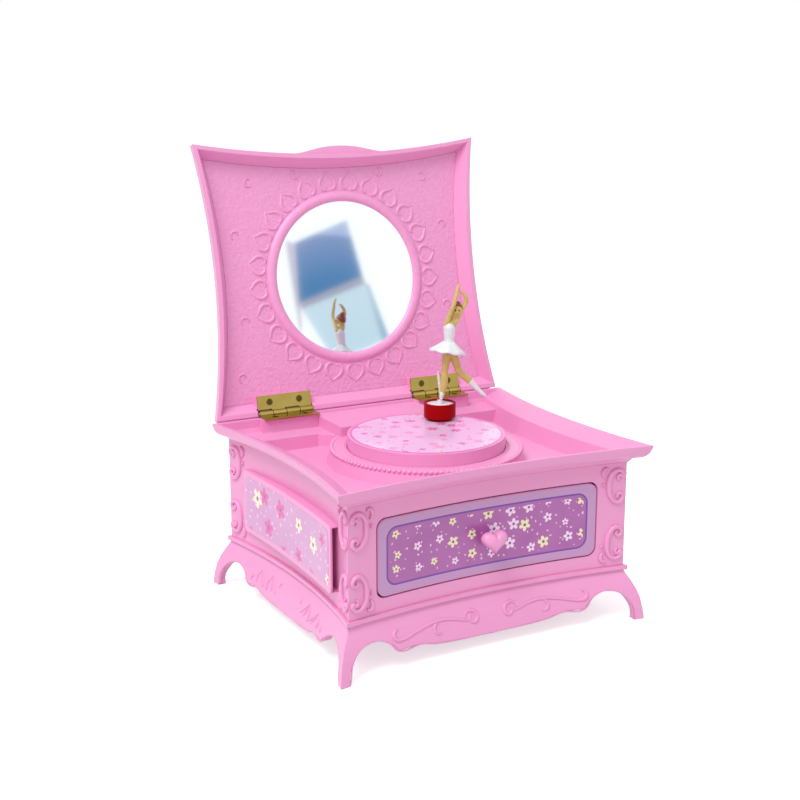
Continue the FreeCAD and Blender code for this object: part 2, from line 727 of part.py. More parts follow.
# Movement bedplate on the bottom plate.
bed_z = plate_top + bedplate_thickness
bedplate = block(bedplate_x[0], bedplate_x[1], bedplate_y[0], bedplate_y[1], plate_top, bed_z)
bedplate = bedplate.cut([rod(arbor_radius + running_gap, 0, key_axis_y, plate_top, bed_z),
                         rod(arm_shaft_radius + running_gap, 0, 0, plate_top, bed_z)])
bed_screws = []
for x in (bedplate_x[0] + bed_corner, bedplate_x[1] - bed_corner):
    for y in (bedplate_y[0] + bed_corner, bedplate_y[1] - bed_corner):
        screw = pan_screw(x, y, skirt_height, bed_screw_radius, bed_screw_radius * 2, bed_screw_length)
        bed_screws.append(screw)
        bedplate = bedplate.cut(screw)
        plate = plate.cut(screw)
parts["bedplate_screws"] = Part.makeCompound(bed_screws)
parts["bottom_plate"] = plate

# Spring housing with the mainspring wound round its arbor.
housing_top = bed_z + housing_height
housing = rod(housing_radius, 0, key_axis_y, bed_z, housing_top)
housing = housing.cut(rod(housing_radius - housing_wall, 0, key_axis_y, bed_z, housing_top - housing_wall))
parts["spring_housing"] = housing.cut(rod(arbor_radius + running_gap, 0, key_axis_y, bed_z, housing_top))
spring_inner = arbor_radius + 1.0
spring_outer = housing_radius - housing_wall - spring_band - 0.05
steps = spring_turns * 20


def spiral(offset):
    points = []
    for i in range(steps + 1):
        turn = 2 * pi * spring_turns * i / steps
        radius = spring_inner + (spring_outer - spring_inner) * i / steps + offset
        points.append(V(radius * cos(turn), key_axis_y + radius * sin(turn), bed_z + 1.0))
    return points


parts["mainspring"] = prism(spiral(0) + spiral(spring_band)[::-1], V(0, 0, spring_height))

# Key body: arbor, great wheel with crown teeth, winding key.
wheel_z = housing_top + wheel_gap
wheel_top = wheel_z + wheel_width
great_radius = great_teeth * gear_module / 2
tooth_share = 0.30
great = spur(great_teeth, great_radius - 1.15 * gear_module, great_radius + 0.9 * gear_module,
             tooth_share, wheel_width, phase=-pi / 2)
crown = []
for i in range(great_teeth):
    tooth = block(crown_radius - crown_width / 2, crown_radius + crown_width / 2, -crown_tooth / 2,
                  crown_tooth / 2, wheel_width - 0.2, wheel_width + crown_height)
    tooth.rotate(V(0, 0, 0), Z, (i + 0.5) * 360 / great_teeth)
    crown.append(tooth)
great = great.fuse(crown).cut(rod(arbor_radius, 0, 0, 0, wheel_width))
great.translate(V(0, key_axis_y, wheel_z))
parts["great_wheel"] = great
key_top = key_clearance + key_wing_height + key_hub_height
parts["spring_arbor"] = rod(arbor_radius, 0, key_axis_y, key_top - key_hub_height, wheel_top)
wing = rounded_rect(key_wing_half, key_clearance, key_clearance + key_wing_height, key_wing_height * 0.45,
                    -key_wing_thickness / 2, key_wing_thickness / 2)
for side in (-1, 1):
    eye = Part.makeCylinder(key_wing_height * 0.24, key_wing_thickness,
                            V(side * key_wing_half * 0.58, -key_wing_thickness / 2,
                              key_clearance + key_wing_height / 2), Y)
    wing = wing.cut(eye)
hub = rod(key_hub_radius, 0, 0, key_clearance + key_wing_height / 2, key_top)
key = fused(wing, hub).cut(rod(arbor_radius, 0, 0, key_top - key_hub_height, key_top))
key.translate(V(0, key_axis_y, 0))
parts["winding_key"] = key

# Arm body: pinion on the great wheel, shaft through the tray, arm with the drive magnet.
arm_radius = arm_teeth * gear_module / 2
pinion = spur(arm_teeth, arm_radius - 1.15 * gear_module, arm_radius + 0.9 * gear_module, tooth_share,
              arm_pinion_width, phase=pi / 2 + pi / arm_teeth)
pinion = pinion.cut(rod(arm_shaft_radius, 0, 0, 0, arm_pinion_width))
pinion.translate(V(0, 0, wheel_z - (arm_pinion_width - wheel_width) / 2))
parts["arm_pinion"] = pinion
arm_top = stage_top_z - stage_skin - magnet_gap
arm_z = arm_top - magnet_height - magnet_arm_thickness
parts["arm_shaft"] = rod(arm_shaft_radius, 0, 0, plate_top + 0.2, arm_z + magnet_arm_thickness)
bush = fused(rod(bush_radius, 0, 0, tray_under_z - bush_flange_thickness, tray_floor_z + 1.0),
             rod(bush_flange, 0, 0, tray_under_z - bush_flange_thickness, tray_under_z))
parts["arm_bush"] = bush.cut(rod(arm_shaft_radius + running_gap, 0, 0, tray_under_z - 2, tray_floor_z + 2))
arm_bar = fused(block(0, orbit_radius, -arm_hub_radius * 0.8, arm_hub_radius * 0.8, arm_z,
                      arm_z + magnet_arm_thickness),
                rod(arm_hub_radius, 0, 0, arm_z, arm_z + magnet_arm_thickness),
                rod(magnet_radius + 1.0, orbit_radius, 0, arm_z, arm_z + magnet_arm_thickness))
arm_bar = arm_bar.cut(rod(arm_shaft_radius, 0, 0, arm_z, arm_top))
drive_magnet = rod(magnet_radius, orbit_radius, 0, arm_z + magnet_arm_thickness, arm_top)
for shape in (arm_bar, drive_magnet):
    shape.rotate(V(0, 0, 0), Z, orbit_angle)
parts["magnet_arm"] = arm_bar
parts["drive_magnet"] = drive_magnet

# Pinned cylinder, lying to the right of the spring, driven by the crown teeth.
pinion_radius = crown_radius * pinion_teeth / great_teeth
axis_z = wheel_top + crown_height - mesh_depth / 2 + pinion_radius
cylinder_end = cylinder_start + cylinder_length


def along_x(shape, x):
    """A shape drawn on Z, laid on the cylinder's axis with its base at x."""
    laid = shape.copy()
    laid.rotate(V(0, 0, 0), Y, 90)
    laid.translate(V(x, key_axis_y, axis_z))
    return laid


wheel_x = cylinder_end + 1.6
bracket_right = wheel_x + worm_wheel_width + 1.8
bracket_left = cylinder_start - bracket_thickness - 0.6
arbor_start = crown_radius - pinion_width / 2 - 1.0
arbor_end = bracket_right + bracket_thickness + 0.8
drum = rod(cylinder_radius, 0, 0, 0, cylinder_length).cut(
    rod(cylinder_radius - cylinder_wall, 0, 0, cylinder_wall, cylinder_length - cylinder_wall))
drum = drum.cut(rod(cylinder_arbor_radius, 0, 0, 0, cylinder_length))
note_pitch = cylinder_length / (note_count + 1)
pins = []
for note in range(note_count):
    for i in range(pins_per_note):
        angle = (note * 137.5 + i * 360 / pins_per_note + 17 * (note % 3)) % 360
        spike = Part.makeCylinder(comb_pin_radius, pin_height + 0.3, V(cylinder_radius - 0.3, 0, 0), X)
        spike.rotate(V(0, 0, 0), Z, angle)
        spike.translate(V(0, 0, (note + 1) * note_pitch))
        pins.append(spike)
parts["music_cylinder"] = along_x(drum.fuse(pins), cylinder_start)
parts["cylinder_arbor"] = along_x(rod(cylinder_arbor_radius, 0, 0, 0, arbor_end - arbor_start), arbor_start)
pinion_tip = pinion_radius + mesh_depth / 2
cylinder_pinion = spur(pinion_teeth, pinion_radius - mesh_depth * 1.1, pinion_tip, 0.26, pinion_width)
cylinder_pinion = cylinder_pinion.cut(rod(cylinder_arbor_radius, 0, 0, 0, pinion_width))
parts["cylinder_pinion"] = along_x(cylinder_pinion, crown_radius - pinion_width / 2)
worm_wheel_radius = worm_wheel_teeth * worm_wheel_module / 2
worm_wheel = spur(worm_wheel_teeth, worm_wheel_radius - 0.7, worm_wheel_radius + worm_reach, 0.22,
                  worm_wheel_width, phase=pi / 2)
worm_wheel = worm_wheel.cut(rod(cylinder_arbor_radius, 0, 0, 0, worm_wheel_width))
parts["cylinder_wheel"] = along_x(worm_wheel, wheel_x)

bracket_y0, bracket_y1 = key_axis_y - bracket_width / 2, key_axis_y + bracket_width / 2
bracket = block(bracket_left, bracket_right + bracket_thickness, bracket_y0, bracket_y1, bed_z,
                bed_z + bracket_thickness)
for x in (bracket_left, bracket_right):
    bracket = bracket.fuse(block(x, x + bracket_thickness, bracket_y0, bracket_y1, bed_z,
                                 axis_z + bracket_above_axis))
bore = along_x(rod(cylinder_arbor_radius + running_gap, 0, 0, 0, arbor_end), 0)
parts["cylinder_bracket"] = bracket.cut(bore).removeSplitter()

# Governor: upright worm on the cylinder wheel, with an air fan.
worm_lead = pi * worm_wheel_module
worm_y = key_axis_y + worm_wheel_radius + worm_reach + worm_radius + 0.25
worm_x = wheel_x + worm_wheel_width / 2
worm_length = worm_turns * worm_lead
worm_z0 = axis_z - worm_length / 2
thread_half = 0.28
helix = Part.makeHelix(worm_lead, worm_length, worm_radius)
tooth_profile = Part.makePolygon([
    V(worm_radius - 0.2, 0, -thread_half * 1.2), V(worm_radius + worm_thread, 0, -thread_half * 0.7),
    V(worm_radius + worm_thread, 0, thread_half * 0.7), V(worm_radius - 0.2, 0, thread_half * 1.2),
    V(worm_radius - 0.2, 0, -thread_half * 1.2)])
thread = Part.Wire(helix.Edges).makePipeShell([tooth_profile], True, True)
worm = rod(worm_radius, 0, 0, -thread_half * 2, worm_length + thread_half * 2).fuse(thread)
worm = worm.cut(rod(governor_shaft_radius, 0, 0, -1, worm_length + 1))
worm.rotate(V(0, 0, 0), Z, -90)
worm.translate(V(worm_x, worm_y, worm_z0))
parts["governor_worm"] = worm
fan_z = worm_z0 + worm_length + fan_lift
governor_low = worm_z0 - 3.0
governor_high = fan_z + fan_height + 2.2
pivot_end = 0.9
shaft = rod(governor_shaft_radius, worm_x, worm_y, governor_low - pivot_end, governor_high + pivot_end)
blades = block(-fan_radius, fan_radius, -fan_blade / 2, fan_blade / 2, 0, fan_height)
fan = fused(blades, rod(1.3, 0, 0, 0, fan_height)).cut(rod(governor_shaft_radius, 0, 0, 0, fan_height))
fan.translate(V(worm_x, worm_y, fan_z))
parts["governor_fan"] = fan
parts["governor_shaft"] = shaft
post_y = worm_y + fan_radius + 1.0
cheek = 3.0
arms = [block(worm_x - cheek, worm_x + cheek, worm_y - 2.0, post_y + bracket_thickness,
              z - bracket_thickness / 2, z + bracket_thickness / 2) for z in (governor_low, governor_high)]
post = block(worm_x - cheek, worm_x + cheek, post_y, post_y + bracket_thickness, bed_z,
             governor_high + bracket_thickness / 2)
stand = fused(post, *arms)
parts["governor_bracket"] = stand.cut(rod(governor_shaft_radius + running_gap, worm_x, worm_y, bed_z,
                                          governor_high + 2))

# Steel comb on its block, tips just clear of the cylinder's pins.
tip_y = comb_y + comb_length
comb_x0 = cylinder_start + note_pitch / 2
comb_x1 = comb_x0 + note_count * note_pitch
comb_z0 = axis_z - comb_thickness / 2
comb = block(comb_x0, comb_x1, comb_y, tip_y, comb_z0, comb_z0 + comb_thickness)
slits = [block(comb_x0 + i * note_pitch - comb_tooth_gap / 2, comb_x0 + i * note_pitch + comb_tooth_gap / 2,
               comb_y + comb_grip, tip_y, comb_z0, comb_z0 + comb_thickness) for i in range(1, note_count)]
comb = comb.cut(slits)
comb_block = block(comb_x0, comb_x1, comb_y, comb_y + comb_grip - 0.5, bed_z, comb_z0)
comb_screws = []
for share in (0.2, 0.5, 0.8):
    x = comb_x0 + (comb_x1 - comb_x0) * share
    screw = pan_screw(0, 0, 0, comb_screw_radius, comb_screw_radius * 1.8, comb_thickness + 5.0)
    screw.rotate(V(0, 0, 0), X, 180)
    screw.translate(V(x, comb_y + comb_grip / 2 - 0.2, comb_z0 + comb_thickness))
    comb_screws.append(screw)
    comb = comb.cut(screw)
    comb_block = comb_block.cut(screw)
parts["comb"] = comb
parts["comb_block"] = comb_block
parts["comb_screws"] = Part.makeCompound(comb_screws)
parts["movement_bedplate"] = bedplate

# Dancer: drawn on Z with u along the picture's right, then set on the stage over the drive magnet.
cup_z = label_z + cup_gap
cup_top = cup_foot_height + cup_height
cup_floor = cup_foot_height + 0.4
cup = fused(rod(cup_foot_radius, 0, 0, 0, cup_foot_height), rod(cup_radius, 0, 0, cup_foot_height, cup_top))
cup = cup.cut(rod(cup_radius - cup_wall, 0, 0, cup_floor, cup_top))
cup_magnet = rod(cup_magnet_radius, 0, 0, cup_floor, cup_floor + cup_magnet_height)
insert_z = cup_floor + cup_magnet_height
insert_top = insert_z + insert_height
insert = fused(rod(cup_radius - cup_wall, 0, 0, insert_z, insert_top),
               rod(peg_radius, 0, 0, insert_top, cup_top + peg_above_cup))


stand_point = V(orbit_radius * cos(radians(orbit_angle)), orbit_radius * sin(radians(orbit_angle)), cup_z)


def on_stage(u, w, h):
    """Point of the dancer: u to the picture's right, w away from it, h above the cup's foot."""
    along, across = cos(view_side), sin(view_side)
    return stand_point + V(u * along - w * across, u * across + w * along, h)


def limb(*joints):
    """Limb through joints given as (u, w, height, radius), drawn in with a small ring at each end."""
    centres = [on_stage(u, w, h) for u, w, h, _ in joints]
    radii = [radius for _, _, _, radius in joints]
    for end, inner, place in ((0, 1, 0), (-1, -2, len(joints) + 1)):
        outwards = (centres[end] - centres[inner]).normalize()
        centres.insert(place, centres[end] + outwards * (radii[end] * 0.75))
        radii.insert(place, radii[end] * 0.5)
    last = len(centres) - 1
    rings = []
    for i, radius in enumerate(radii):
        axis = centres[min(i + 1, last)] - centres[max(i - 1, 0)]
        rings.append(Part.Wire(Part.makeCircle(radius, centres[i], axis)))
    return Part.makeLoft(rings, True, True)


def ball(u, w, h, radius):
    centre = on_stage(u, w, h)
    rings = [Part.Wire(Part.makeCircle(radius * sqrt(1 - t * t), centre + Z * (radius * t), Z))
             for t in (-0.94, -0.75, -0.4, 0, 0.4, 0.75, 0.94)]
    return Part.makeLoft(rings, True, False)


def sized(*joints):
    """Joints brought to the figure's size."""
    return [tuple(value * figure_unit for value in joint) for joint in joints]


foot_z = cup_top + peg_above_cup + foot_radius + glue_line
standing_leg = limb((0.6 * figure_unit, 0, foot_z, foot_radius),
                    *sized((1.3, 0, 12.0, 1.15), (1.9, 0, 17.5, 1.75), (2.2, 0, 22.4, 1.5),
                           (3.4, 0, 31.0, 2.2)))
free_leg = limb(*sized((5.2, 0.6, 31.2, 2.1), (9.1, 0.6, 21.5, 1.5), (12.6, 0.6, 18.6, 1.6),
                       (18.6, 0.6, 12.4, 0.9), (21.2, 0.6, 10.2, 0.6)))
trunk = limb(*sized((4.0, 0.2, 33.0, 2.7), (3.9, 0.2, 37.0, 2.1), (4.0, 0.2, 42.2, 2.8),
                    (5.2, 0.2, 45.4, 1.3), (6.2, 0.2, 47.8, 1.0)))
right_arm = limb(*sized((5.9, 0.3, 43.6, 1.25), (11.7, 0.3, 55.2, 0.95), (8.8, 0.3, 58.8, 0.7)))
left_arm = limb(*sized((2.6, 0.0, 43.7, 1.2), (5.9, -3.6, 53.6, 0.9), (8.1, -1.5, 62.4, 0.65)))
head = ball(*sized((7.5, 0.1, 50.5, 3.0))[0])
bun = ball(*sized((7.7, 1.5, 53.0, 1.5))[0])
figure = trunk
for piece in (standing_leg, free_leg, right_arm, left_arm, head, bun):
    figure = figure.fuse(piece)
waist = on_stage(*sized((4.1, 0.2, 36.2))[0])
rise, hem = hem_height * figure_unit, hem_radius * figure_unit
cloth, collar = hem_thickness * figure_unit, waist_radius * figure_unit
tutu = Part.makeCone(hem, collar, rise, waist - Z * rise, Z)
tutu = tutu.cut(Part.makeCone(hem - cloth, collar - cloth, rise, waist - Z * (rise + cloth), Z))
tutu.rotate(waist, on_stage(0, 1, 0) - on_stage(0, 0, 0), skirt_tilt)
parts["dancer_figure"] = figure
parts["dancer_tutu"] = tutu.cut(figure)
for name, shape in (("dancer_cup", cup), ("cup_magnet", cup_magnet), ("cup_insert", insert)):
    shape.translate(stand_point)
    parts[name] = shape

os.makedirs("parts", exist_ok=True)
for name, shape in parts.items():
    shape.exportStep("parts/" + name + ".step")
    print(name, len(shape.Solids), shape.isValid(), round(shape.Volume, 1))
print(len(parts), "pieces")
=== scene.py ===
import bmesh
import bpy
import json
from math import cos, pi, radians, sin
from mathutils import Matrix, Vector


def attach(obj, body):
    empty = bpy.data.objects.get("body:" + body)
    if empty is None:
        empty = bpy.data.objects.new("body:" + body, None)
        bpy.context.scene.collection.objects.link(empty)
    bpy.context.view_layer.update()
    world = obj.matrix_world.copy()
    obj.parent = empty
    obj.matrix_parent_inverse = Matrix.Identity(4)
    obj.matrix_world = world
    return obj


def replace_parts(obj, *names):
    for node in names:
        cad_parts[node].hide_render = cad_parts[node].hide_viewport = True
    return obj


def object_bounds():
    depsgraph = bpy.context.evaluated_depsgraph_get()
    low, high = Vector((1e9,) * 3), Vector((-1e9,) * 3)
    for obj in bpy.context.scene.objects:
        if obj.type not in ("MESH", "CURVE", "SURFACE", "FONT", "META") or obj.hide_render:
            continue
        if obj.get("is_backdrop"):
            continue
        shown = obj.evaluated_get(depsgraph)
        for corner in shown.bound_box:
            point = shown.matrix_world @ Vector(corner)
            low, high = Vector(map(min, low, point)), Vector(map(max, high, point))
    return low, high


# Looks of a wind-up music box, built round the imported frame. The box, the camera and the window are
# drawn in millimetres, and the floor and the lights in metres, in the frame of the part: +X right,
# +Y back, +Z up, origin on the table under the stage.

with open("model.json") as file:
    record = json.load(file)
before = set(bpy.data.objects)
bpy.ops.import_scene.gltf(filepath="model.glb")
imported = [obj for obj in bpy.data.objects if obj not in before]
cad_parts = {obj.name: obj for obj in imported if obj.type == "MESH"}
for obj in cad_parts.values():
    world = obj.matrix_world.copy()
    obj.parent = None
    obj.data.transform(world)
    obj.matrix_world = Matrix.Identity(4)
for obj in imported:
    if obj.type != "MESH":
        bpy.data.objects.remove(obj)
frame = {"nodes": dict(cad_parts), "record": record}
cad_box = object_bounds()
nodes = frame["nodes"]
MM = 0.001

# Cabinet walls: three sides bow inwards, and the skirt flares out towards the feet.
front_half = 67.0
back_half = 69.5
front_depth = 57.0
back_depth = 60.5
wall_bow = 6.0
foot_flare = 7.2
# Heights on the skirt, from its top down, and the share of the flare at each.
flare_steps = ((24.0, 0.0), (22.32, 0.0), (19.99, 0.15), (16.99, 0.38), (13.99, 0.58), (10.0, 0.78),
               (4.99, 0.92), (0.0, 1.0))

# Apron edge between two legs.
notch_from_corner = 21.5
arch_width = 12.5
arch_top = 14.4
apron_height = 8.2
apron_middle = 6.2
leg_foot = 4.5

# Drawer label and knob.
drawer_label_z = 46.8
knob_back_y = -55.0
knob_wall_y = -51.0
knob_height = 46.0
knob_half_width = 6.0
stem_radius = 2.2

# Lid: drawn shut, then swung open about the hinge pin.
pin_y = 61.3
pin_z = 80.2
lid_open = radians(-101.0)
liner_z = 85.6
mirror_y = 0.9
mirror_ring = 41.2

# Stage and its ring in the tray; the platform behind the stage covers part of the ring.
ring_top_z = 73.5
ring_radius = 42.0
ring_inner_radius = 36.5
platform_front = 29.0
platform_half = 28.0
stage_label_radius = 33.8

# Dancer: u runs to the picture's right, w away from the viewer, h up from the foot of the cup.
dancer_foot = Vector((17.366, 17.983, 79.34))
dancer_turn = radians(-28.57)
head_lean = radians(16.0)
skirt_lean = radians(9.0)
skirt_tip = radians(-8.0)
head_size = (2.4, 2.65, 3.0)
hair_thickness = 0.2
bun_radius = 1.45

# Camera.
camera_spot = Vector((-284.0, -497.3, 232.1))
camera_aim = Vector((-10.2, 5.5, 94.0))
camera_lens = 60.31


def linear(colour):
    """sRGB hex value to linear RGBA."""
    channels = [int(colour[i:i + 2], 16) / 255 for i in (1, 3, 5)]
    return [c / 12.92 if c <= 0.04045 else ((c + 0.055) / 1.055) ** 2.4 for c in channels] + [1.0]


def add(tree, kind, settings, *values, **named):
    """Adds a node with its settings; an input is a number, a hex colour, a socket or a node."""
    node = tree.nodes.new("ShaderNode" + kind)
    for name, value in settings.items():
        setattr(node, name, value)
    pairs = list(zip([s for s in node.inputs if s.enabled], values))
    pairs += [(node.inputs[name.replace("_", " ")], value) for name, value in named.items()]
    for socket, value in pairs:
        if isinstance(value, bpy.types.Node):
            value = next(s for s in value.outputs if s.enabled)
        if isinstance(value, bpy.types.NodeSocket):
            tree.links.new(value, socket)
        else:
            socket.default_value = linear(value) if isinstance(value, str) else value
    return node


# Settings of the nodes that the patterns use.
plus, minus, times = {"operation": "ADD"}, {"operation": "SUBTRACT"}, {"operation": "MULTIPLY"}
larger, smaller, size_of = {"operation": "MAXIMUM"}, {"operation": "MINIMUM"}, {"operation": "ABSOLUTE"}
above, scaled = {"operation": "GREATER_THAN"}, {"operation": "MULTIPLY_ADD"}
length = {"operation": "LENGTH"}
blend = {"data_type": "RGBA"}
# Number of the output where a colour mix gives its result.
mixed = 2
soft = {"interpolation_type": "SMOOTHSTEP"}
# Half the soft edge of a printed shape.
edge = 0.04 * MM


def surface(name, colour, roughness, metallic=0.0, ior=1.5, coat=0.0):
    """A material with its shader, and its object coordinates."""
    material = bpy.data.materials.new(name)
    material.use_nodes = True
    tree = material.node_tree
    shader = tree.nodes["Principled BSDF"]
    shader.inputs["Base Color"].default_value = linear(colour)
    shader.inputs["Roughness"].default_value = roughness
    shader.inputs["Metallic"].default_value = metallic
    shader.inputs["IOR"].default_value = ior
    shader.inputs["Coat Weight"].default_value = coat
    place = add(tree, "TexCoord", {}).outputs["Object"]
    return material, tree, shader, place


def clouds(tree, place, colour, other, size, detail=3.0):
    """Slow change between two colours over patches of a size in millimetres."""
    patches = add(tree, "TexNoise", {}, Vector=place, Scale=1 / (size * MM), Detail=detail)
    return add(tree, "Mix", blend, patches, colour, other)


def mottle(tree, shader, place, colour, other, size):
    """Clouds of two colours over the whole of a material."""
    mix = clouds(tree, place, colour, other, size)
    tree.links.new(mix.outputs[mixed], shader.inputs["Base Color"])


def grain(tree, shader, place, size, depth, soft_edge=0.0):
    """Bump of a grain size and depth in millimetres; soft_edge rounds the moulded edges."""
    height = add(tree, "TexNoise", {}, Vector=place, Scale=1 / (size * MM), Detail=2.0)
    bump = add(tree, "Bump", {}, Height=height, Distance=depth * MM, Strength=1.0)
    if soft_edge:
        rounded = add(tree, "Bevel", {"samples": 6}, Radius=soft_edge * MM)
        tree.links.new(rounded.outputs["Normal"], bump.inputs["Normal"])
    tree.links.new(bump.outputs["Normal"], shader.inputs["Normal"])


# Injection-moulded ABS, glossy from a polished tool, with faint flow marks and rounded edges.
pink = "#EFA0CF"
pink_abs, tree, shader, place = surface("pink_abs", pink, roughness=0.34, ior=1.53)
mottle(tree, shader, place, pink, "#EB9ACA", size=22.0)
grain(tree, shader, place, size=0.9, depth=0.012, soft_edge=0.7)

# The same ABS from an etched tool: a fine leathery pebble, left off the polished ring of the mirror.
# The pebble is drawn coarser than it is, so that it shows.
pebble_abs, tree, shader, place = surface("pink_abs_pebbled", pink, roughness=0.4, ior=1.53)
mottle(tree, shader, place, "#F0A4D2", "#E693C6", size=2.4)
from_pin = add(tree, "VectorMath", minus, place, (0.0, pin_y * MM, pin_z * MM))
lid_plane = add(tree, "Mapping", {}, Vector=from_pin, Rotation=(-lid_open, 0.0, 0.0),
                Location=(0.0, (pin_y - mirror_y) * MM, 0.0))
level = add(tree, "VectorMath", times, lid_plane, (1.0, 1.0, 0.0))
etched_from, etched_to = (mirror_ring + 0.2) * MM, (mirror_ring + 0.6) * MM
etched = add(tree, "MapRange", soft, add(tree, "VectorMath", length, level), etched_from, etched_to)
pebble_size, pebble_depth = 1.3 * MM, 0.28 * MM
cells = add(tree, "TexVoronoi", {"feature": "SMOOTH_F1"}, Vector=place, Scale=1 / pebble_size)
pebble = add(tree, "Math", times, cells, etched)
bump = add(tree, "Bump", {}, Height=pebble, Distance=pebble_depth, Strength=1.0)
tree.links.new(bump.outputs["Normal"], shader.inputs["Normal"])

# Stamped brass, lacquered: pale yellow with a green cast and faint clouds of age.
brass, tree, shader, place = surface("stamped_brass", "#B5A058", roughness=0.17, metallic=1.0)
mottle(tree, shader, place, "#BBA75C", "#9D8844", size=9.0)
grain(tree, shader, place, size=0.6, depth=0.01, soft_edge=0.15)

# The hinge screws' brass: dark brown and dull, with darker clouds.
browned_brass, tree, shader, place = surface("browned_brass", "#6B5A2E", roughness=0.4, metallic=1.0)
mottle(tree, shader, place, "#7A6836", "#4E4020", size=0.8)
grain(tree, shader, place, size=0.4, depth=0.03)

# Zinc-plated steel: pale grey, a little cloudy.
zinc, tree, shader, place = surface("zinc_plated_steel", "#C9CBCE", roughness=0.32, metallic=1.0)
mottle(tree, shader, place, "#CFD1D4", "#AEB2B8", size=1.5)
grain(tree, shader, place, size=0.4, depth=0.01, soft_edge=0.1)

# Hardened spring steel: blue-grey from tempering.
spring_steel, tree, shader, place = surface("spring_steel", "#7C848F", roughness=0.28, metallic=1.0)
mottle(tree, shader, place, "#8A929C", "#636B78", size=3.0)

# Die-cast zinc: dull grey with a sandy skin.
casting, tree, shader, place = surface("zinc_casting", "#9C9EA1", roughness=0.52, metallic=1.0)
mottle(tree, shader, place, "#A5A7AA", "#888B8F", size=5.0)
grain(tree, shader, place, size=0.5, depth=0.04, soft_edge=0.2)

# Natural nylon: milky and faintly translucent.
nylon, tree, shader, place = surface("natural_nylon", "#E9E4D4", roughness=0.45, ior=1.53)
shader.inputs["Subsurface Weight"].default_value = 0.2
shader.inputs["Subsurface Radius"].default_value = (0.001, 0.0009, 0.0007)
mottle(tree, shader, place, "#ECE8DA", "#E0DAC6", size=6.0)

# Sintered ferrite: nearly black, matt and finely pitted.
ferrite, tree, shader, place = surface("ferrite", "#3B3A3C", roughness=0.6)
mottle(tree, shader, place, "#414043", "#2F2E30", size=1.0)
grain(tree, shader, place, size=0.3, depth=0.03)

# Silvered glass: a thin cheap mirror, a little soft, with a very slight blue-green cast.
mirror_glass, tree, shader, place = surface("silvered_glass", "#EAF1F3", roughness=0.04, metallic=1.0)
mottle(tree, shader, place, "#EDF3F5", "#E4ECEF", size=40.0)

# Red polystyrene for the cup: a deep colour with a satin skin.
red_styrene, tree, shader, place = surface("red_polystyrene", "#A00105", roughness=0.36, ior=1.59)
shader.inputs["Specular IOR Level"].default_value = 0.05
mottle(tree, shader, place, "#A40104", "#8E0103", size=6.0)
grain(tree, shader, place, size=0.8, depth=0.01, soft_edge=0.35)

# White polystyrene and the white paint of the dress: slightly cool.
white_styrene, tree, shader, place = surface("white_polystyrene", "#E6E8E9", roughness=0.4, ior=1.59)
mottle(tree, shader, place, "#E9EBEC", "#D9DCDE", size=5.0)
grain(tree, shader, place, size=0.5, depth=0.01)

# Clear polystyrene with a milky tint: the thin support behind the standing leg.
milky_styrene, tree, shader, place = surface("milky_polystyrene", "#F6F4F2", roughness=0.3, ior=1.59)
shader.inputs["Transmission Weight"].default_value = 0.35
mottle(tree, shader, place, "#F8F6F4", "#ECEAE8", size=4.0)

# Sprayed paint on the figure, with small pools and thin places.
skin_paint, tree, shader, place = surface("skin_paint", "#D3BD64", roughness=0.4)
mottle(tree, shader, place, "#DBCB7C", "#BFA148", size=2.2)
grain(tree, shader, place, size=0.4, depth=0.01)

hair_paint, tree, shader, place = surface("hair_paint", "#8E3622", roughness=0.42)
mottle(tree, shader, place, "#9A4029", "#6C2616", size=1.0)
grain(tree, shader, place, size=0.45, depth=0.05)

dark_paint, tree, shader, place = surface("eye_paint", "#3A2620", roughness=0.35)
mottle(tree, shader, place, "#3A2620", "#2A1B17", size=0.5)

lip_paint, tree, shader, place = surface("lip_paint", "#C4574F", roughness=0.35)
mottle(tree, shader, place, "#C85F56", "#B44A44", size=0.5)


def rounded_box(tree, across, up, half_width, half_height, corner):
    """Distance in metres outside a rounded rectangle, below zero inside it."""
    sides = [add(tree, "Math", minus, add(tree, "Math", size_of, run), (half - corner) * MM)
             for run, half in ((across, half_width), (up, half_height))]
    a, b = [add(tree, "Math", larger, side, 0.0) for side in sides]
    reach = add(tree, "Math", {"operation": "SQRT"}, add(
        tree, "Math", plus, add(tree, "Math", times, a, a), add(tree, "Math", times, b, b)))
    inner = add(tree, "Math", smaller, add(tree, "Math", larger, *sides), 0.0)
    return add(tree, "Math", minus, add(tree, "Math", plus, reach, inner), corner * MM)


# Shares of a flower's size: its notches between petals, its eye, the smallest flower and how sizes vary.
notch_share, eye_share = 0.45, 0.24
least_share, varied_share = 0.6, 0.5
# Largest random turn of a flower, in radians.
most_turn = 6.0


